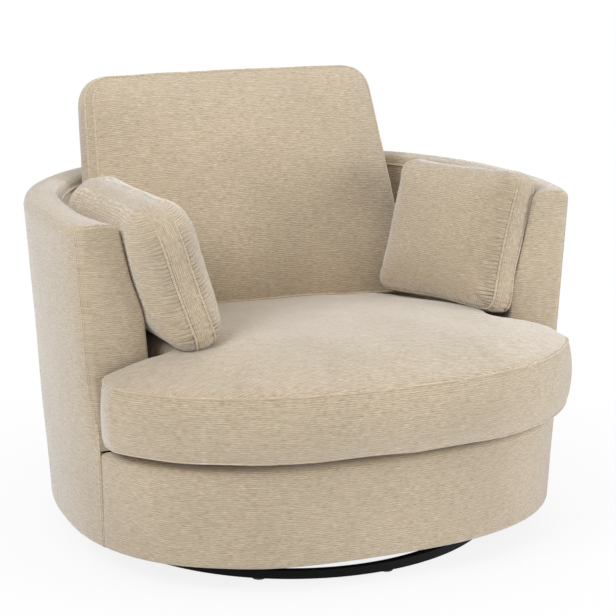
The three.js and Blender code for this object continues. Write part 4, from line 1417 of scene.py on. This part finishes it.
class Shader(Nodes):
    """The same helper for one material."""

    def __init__(self, name):
        self.material = bpy.data.materials.new(name)
        self.material.use_nodes = True
        super().__init__(self.material.node_tree)
        self.surface = self.tree.nodes["Principled BSDF"]

    def place(self):
        return self.add("ShaderNodeTexCoord").outputs["Object"]

    def map(self, name):
        return self.add("ShaderNodeUVMap", uv_map=name).outputs["UV"]

    def parts(self, vector):
        return self.add("ShaderNodeSeparateXYZ", {"Vector": vector}).outputs

    def mix(self, share, a, b):
        node = self.add("ShaderNodeMix", {"Factor": share, "A": a, "B": b}, data_type="RGBA")
        return node.outputs["Result"]

    def noise(self, vector, scale, detail=2.0, roughness=0.5):
        return self.add("ShaderNodeTexNoise", {
            "Vector": vector, "Scale": scale, "Detail": detail, "Roughness": roughness}).outputs["Fac"]

    def stretched(self, vector, x, y, z=1.0):
        return self.add("ShaderNodeMapping", {"Vector": vector, "Scale": (x, y, z)}).outputs[0]

    def ranged(self, value, low, high, start=0.0, end=1.0):
        return self.add("ShaderNodeMapRange", {
            "Value": value, "From Min": low, "From Max": high, "To Min": start, "To Max": end}).outputs[0]

    def vector(self, operation, a, b):
        return self.add("ShaderNodeVectorMath", {0: a, 1: b}, operation=operation).outputs[0]

    def bump(self, height, distance):
        self.put(self.surface.inputs["Normal"],
                 self.add("ShaderNodeBump", {"Height": height, "Distance": distance, "Strength": 1.0}))

    def finish(self, **values):
        for key, value in values.items():
            self.put(self.surface.inputs[key.replace("_", " ")], value)
        return self.material


def rgba(value):
    return (*value, 1.0)


def chenille(name, lift):
    """Ribbed chenille: irregular ribs along u, slubs, a pale bloom at grazing angles, painted shade in the
    folds' creases; lift paints it paler, a painted highlight.
    """
    cloth = settings("chair_cloth")
    s = Shader(name)
    weave = s.map("weave")
    wander = s.noise(s.stretched(weave, 22, 60), 1.0, 2.0)
    shifted = s.math("ADD", s.parts(weave)["Y"], s.math("MULTIPLY", wander, 0.006))
    wave = s.math("SINE", s.math("MULTIPLY", shifted, 2 * math.pi / cloth.rib_pitch))
    rib = s.math("MULTIPLY_ADD", wave, 0.5, 0.5)
    dashes = s.noise(s.stretched(weave, 95, 420), 1.0, 3.0, 0.6)
    broken = s.noise(s.stretched(weave, 40, 130), 1.0, 1.0)
    fuzz = s.noise(s.stretched(weave, 600, 900), 1.0, 2.0, 0.7)
    ribbed = s.math("MULTIPLY", rib, s.math("MULTIPLY_ADD", broken, 1.5, -0.2))
    pile = s.math("ADD", s.math("MULTIPLY", ribbed, 0.38), s.math("MULTIPLY", dashes, 0.75))
    pile = s.math("ADD", pile, s.math("MULTIPLY", fuzz, 0.12))
    # A lift above 1 paints a paler copy of the cloth for the welts: painted highlight
    deep, light = (rgba([c * lift for c in tone]) for tone in (cloth.deep, cloth.light))
    body = s.mix(s.ranged(pile, 0.28, 0.92), deep, light)
    shade = s.vector("MULTIPLY", body, s.ranged(s.noise(s.place(), 7.0, 3.0), 0.3, 0.7, 0.95, 1.05))
    folds = s.parts(s.map("folds"))
    sway = s.math("MULTIPLY", s.noise(s.stretched(weave, 26, 26), 1.0, 2.0), 5.0)
    pull = s.math("MULTIPLY", folds["Y"], s.ranged(s.noise(weave, 17.0, 1.0), 0.38, 0.60, 0.35, 1.1))
    turned = s.math("SINE", s.math("ADD", s.math("MULTIPLY", folds["X"], math.pi / cloth.fold_pitch), sway))
    ridge = s.math("POWER", s.math("ABSOLUTE", turned), 0.6)
    # Painted shade: the cloth is darkened in the creases between the gathered folds beside the seams
    crease_shade = s.math("MULTIPLY", s.math("POWER", s.math("SUBTRACT", 1.0, ridge), 1.5), pull)
    shade = s.vector("MULTIPLY", shade, s.math("MULTIPLY_ADD", crease_shade, -0.65, 1.0))
    raised = s.math("MULTIPLY", s.math("MULTIPLY", ridge, pull), cloth.fold_depth)
    s.bump(s.math("MULTIPLY_ADD", pile, cloth.rib_depth, raised), 1.0)
    return s.finish(
        Base_Color=shade, Roughness=0.92, Sheen_Weight=cloth.sheen, Sheen_Roughness=0.5,
        Sheen_Tint=(1.0, 0.99, 0.97, 1.0), Specular_IOR_Level=0.12)


def thread_finish():
    s, thread = Shader("thread"), settings("chair_cloth").thread
    twist = s.noise(s.place(), 900.0, 1.0)
    s.bump(twist, 0.0002)
    return s.finish(Base_Color=s.mix(twist, rgba([c * 0.86 for c in thread]), rgba(thread)), Roughness=0.7,
                    Sheen_Weight=0.2)


def speckled(name, dark, light, scale, rough, metal=0.0, bump=0.0003, **extra):
    """Finish with fine speckle in tone, roughness and bump."""
    s = Shader(name)
    place = s.place()
    grain = s.noise(place, scale, 4.0, 0.6)
    share = s.math("MULTIPLY_ADD", grain, 0.6, s.math("MULTIPLY", s.noise(place, scale / 14, 2.0), 0.4))
    s.bump(grain, bump)
    return s.finish(Base_Color=s.mix(share, rgba(dark), rgba(light)), Metallic=metal,
                    Roughness=s.ranged(share, 0.3, 0.7, *rough), **extra)


def plywood_finish():
    s = Shader("plywood")
    place = s.place()
    bent = s.add("ShaderNodeTexNoise", {"Vector": place, "Scale": 3.0}).outputs["Color"]
    grain = s.noise(s.stretched(s.vector("ADD", place, bent), 3.0, 60.0, 60.0), 1.0, 5.0, 0.65)
    plies = s.add("ShaderNodeTexWave", {
        "Vector": place, "Scale": 55.0, "Distortion": 1.2}, bands_direction="Z").outputs["Fac"]
    tone = s.mix(grain, (0.52, 0.33, 0.16, 1), (0.68, 0.47, 0.26, 1))
    tone = s.mix(s.math("MULTIPLY", plies, 0.35), tone, (0.40, 0.24, 0.11, 1))
    s.bump(grain, 0.0004)
    return s.finish(Base_Color=tone, Roughness=0.68)


def woven(name, dark, light, pitch):
    """Plain woven or spun cloth on object coordinates."""
    s = Shader(name)
    place = s.place()
    share = s.math("MULTIPLY", *(s.add(
        "ShaderNodeTexWave", {"Vector": place, "Scale": 0.159 / pitch, "Distortion": 0.6},
        bands_direction=axis).outputs["Fac"] for axis in ("X", "Y")))
    s.bump(share, 0.0004)
    return s.finish(Base_Color=s.mix(share, rgba(dark), rgba(light)), Roughness=0.93)


def eased(corners, ease):
    """Closed section with each of its corners rounded."""
    points = []
    for n, corner in enumerate(corners):
        before, after = corners[n - 1] - corner, corners[(n + 1) % len(corners)] - corner
        lengths = [np.linalg.norm(side) for side in (before, after)]
        near = [side / size * min(ease, 0.45 * size) for side, size in zip((before, after), lengths)]
        for t in np.linspace(0, 1, 5):
            points.append(corner + (1 - t) ** 2 * near[0] + t**2 * near[1])
    return np.array(points)


def ground_ring(steel):
    """Steel ring on the floor, rolled from angle with eased edges."""
    low, high = (np.array(corner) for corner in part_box("base_ring"))
    centre, radius = (low[:2] + high[:2]) / 2, (high[0] - low[0]) / 2
    bottom, leg, shelf, top = 0.0045, 0.0095, 0.0130, 0.0225
    wall, inner = radius - 0.012, radius - 0.036
    corners = [(radius, bottom), (radius, top), (wall, top), (wall, shelf), (inner, shelf), (inner, leg),
               (wall, leg), (wall, bottom)]
    section = eased(np.array(corners), 0.0025)
    angles = np.linspace(0, 2 * math.pi, 240, endpoint=False)[:, None]
    grid = np.stack([
        centre[0] + section[:, 0] * np.cos(angles), centre[1] + section[:, 0] * np.sin(angles),
        section[:, 1] + 0 * angles], -1)
    ring = new_object("ground_ring", grid.reshape(-1, 3), grid_faces(*grid.shape[:2], True, True), steel)
    turned_out(ring)
    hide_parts("base_ring")
    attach(ring, "base")


def finish_frame():
    """Materials of the CAD nodes that stay in sight or inside."""
    steel = speckled("black_powder_coat", (0.003, 0.003, 0.003), (0.006, 0.006, 0.006), 900.0, (0.55, 0.70),
                     Specular_IOR_Level=0.12)
    zinc = speckled("zinc_plate", (0.36, 0.37, 0.39), (0.55, 0.56, 0.57), 160.0, (0.24, 0.42), 1.0)
    wire = speckled("spring_wire", (0.07, 0.07, 0.08), (0.14, 0.14, 0.15), 300.0, (0.25, 0.45), 1.0)
    ball = speckled("bearing_balls", (0.55, 0.55, 0.56), (0.66, 0.66, 0.67), 60.0, (0.06, 0.14), 1.0, 0.00005)
    cage = speckled("cage_nylon", (0.62, 0.60, 0.55), (0.72, 0.70, 0.65), 400.0, (0.42, 0.55))
    glide = speckled("glide_nylon", (0.006, 0.006, 0.006), (0.014, 0.014, 0.014), 500.0, (0.5, 0.65))
    wood = plywood_finish()
    dust = woven("dust_cloth", (0.010, 0.010, 0.010), (0.028, 0.027, 0.026), 0.0016)
    rules = [
        (("base_ring", "cross_bar"), steel),
        (("swivel", "base_bolt", "frame_screw"), zinc),
        (("seat_spring",), wire),
        (("ball_cage",), cage),
        (("ball_",), ball),
        (("glide",), glide),
        (("bottom_frame", "seat_rail", "top_rail", "back_post", "front_post", "arm_post",
          "spring_rail"), wood),
        (("dust_cover",), dust),
    ]
    ground_ring(steel)
    for name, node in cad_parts.items():
        for starts, material in rules:
            if name.startswith(starts):
                node.data.materials.clear()
                node.data.materials.append(material)
                break


# Stage


def stage_floor():
    """White to the eye, with the object's shadow kept, and matt for the light that it throws back."""
    s = Shader("floor_white")
    away = s.add("ShaderNodeVectorMath", {0: s.place()}, operation="LENGTH").outputs["Value"]
    shown = s.math("MULTIPLY", s.seen_directly(), s.ranged(away, 0.45, 1.1, 0.86, 1.0))
    paint = s.add("ShaderNodeEmission", {"Color": (1, 1, 1, 1), "Strength": 1.0})
    blend = s.add("ShaderNodeMixShader", {"Fac": shown, 1: s.surface, 2: paint})
    s.put(s.tree.nodes["Material Output"].inputs["Surface"], blend)
    return s.finish(Base_Color=(0.86, 0.86, 0.86, 1), Roughness=0.9, Specular_IOR_Level=0.1)


def white_world(strength):
    world = bpy.context.scene.world = bpy.data.worlds.new("white_surroundings")
    world.use_nodes = True
    n = Nodes(world.node_tree)
    level = n.add("ShaderNodeMapRange", {"Value": n.seen_directly(), "To Min": strength, "To Max": 1.0})
    back = n.tree.nodes["Background"].inputs
    n.put(back["Strength"], level)
    n.put(back["Color"], (1, 1, 1, 1))


def area_light(name, place, aim, size, power, tint=(1, 1, 1)):
    data = bpy.data.lights.new(name, "AREA")
    data.shape = "DISK"
    data.size = size
    data.energy = power
    data.color = tint
    obj = bpy.data.objects.new(name, data)
    obj.location = place
    obj.rotation_euler = (Vector(aim) - Vector(place)).to_track_quat("-Z", "Y").to_euler()
    bpy.context.scene.collection.objects.link(obj)


# Tint of the key and fill lights
COOL = (0.97, 1.0, 1.05)


def build_stage():
    stage, scene = settings("chair_stage"), bpy.context.scene
    corners = [(-9, -9, 0), (9, -9, 0), (9, 9, 0), (-9, 9, 0)]
    floor = new_object("floor", corners, [(0, 1, 2, 3)], stage_floor())
    white_world(stage.sky)
    area_light("key_light", (-2.6, -1.6, 2.7), (0, 0, 0.4), 1.8, stage.key_power, COOL)
    area_light("fill_light", (3.2, -2.3, 0.9), (0, 0, 0.4), 2.2, stage.fill_power, COOL)
    area_light("top_light", (0.2, 0.2, 3.0), (0, 0, 0.4), 1.6, stage.top_power)
    data = bpy.data.cameras.new("camera")
    data.sensor_width = 36.0
    data.lens = stage.focal_share * data.sensor_width
    camera = bpy.data.objects.new("camera", data)
    camera.location = stage.camera_place
    camera.rotation_euler = (math.pi / 2 - stage.camera_pitch, 0, stage.camera_heading)
    scene.collection.objects.link(camera)
    scene.camera = camera
    scene.view_settings.view_transform = "Standard"


# Operators

PARTS = {}


class CHAIR_OT_stage(bpy.types.Operator):
    """Makes the floor, the lights and the camera"""

    bl_idname = "chair.stage"
    bl_label = "Stage"

    def execute(self, context):
        build_stage()
        return {"FINISHED"}


class CHAIR_OT_tub(bpy.types.Operator):
    """Makes the tub's cover, front panel, inner wall, arm fronts and deck"""

    bl_idname = "chair.tub"
    bl_label = "Tub upholstery"

    def execute(self, context):
        PARTS["cloth"], PARTS["thread"] = chenille("chenille", 1.0), thread_finish()
        # Paler copy of the cloth for the welts and folds at the seams: painted highlight
        PARTS["fold"] = chenille("chenille_fold", settings("chair_cloth").welt_highlight)
        PARTS["tub"] = build_tub(PARTS["cloth"])
        return {"FINISHED"}


class CHAIR_OT_cushions(bpy.types.Operator):
    """Makes, fills and sews the seat, back and side cushions"""

    bl_idname = "chair.cushions"
    bl_label = "Cushions"

    def execute(self, context):
        PARTS["cushions"] = build_cushions(PARTS["cloth"])
        return {"FINISHED"}


class CHAIR_OT_seams(bpy.types.Operator):
    """Lays the welts and the rows of stitches"""

    bl_idname = "chair.seams"
    bl_label = "Seams and stitches"

    def execute(self, context):
        outer, arms = PARTS["tub"]
        tub_seams(outer, arms, PARTS["fold"], PARTS["thread"])
        cushion_seams(PARTS["cushions"], PARTS["fold"], PARTS["thread"])
        return {"FINISHED"}


class CHAIR_OT_finishes(bpy.types.Operator):
    """Gives the frame, springs, swivel and base their materials"""

    bl_idname = "chair.finishes"
    bl_label = "Frame and base finishes"

    def execute(self, context):
        finish_frame()
        return {"FINISHED"}


OPERATORS = (CHAIR_OT_stage, CHAIR_OT_tub, CHAIR_OT_cushions, CHAIR_OT_seams, CHAIR_OT_finishes)


class CHAIR_PT_panel(bpy.types.Panel):
    """Steps that build the chair"""

    bl_idname = "CHAIR_PT_panel"
    bl_label = "Cuddle chair"
    bl_space_type = "VIEW_3D"
    bl_region_type = "UI"
    bl_category = "Chair"

    def draw(self, context):
        for operator in OPERATORS:
            self.layout.operator(operator.bl_idname)
        for name in GROUPS:
            box = self.layout.box()
            group = getattr(context.scene, name)
            for key in type(group).__annotations__:
                box.prop(group, key)


def register():
    for group in GROUPS.values():
        bpy.utils.register_class(group)
    for operator in (*OPERATORS, CHAIR_PT_panel):
        bpy.utils.register_class(operator)
    for name, group in GROUPS.items():
        setattr(bpy.types.Scene, name, PointerProperty(type=group))


def unregister():
    for name in GROUPS:
        delattr(bpy.types.Scene, name)
    for operator in (CHAIR_PT_panel, *reversed(OPERATORS)):
        bpy.utils.unregister_class(operator)
    for group in reversed(GROUPS.values()):
        bpy.utils.unregister_class(group)


def main():
    register()
    for step in (bpy.ops.chair.stage, bpy.ops.chair.tub, bpy.ops.chair.cushions, bpy.ops.chair.seams,
                 bpy.ops.chair.finishes):
        step()


if __name__ == "__main__":
    main()
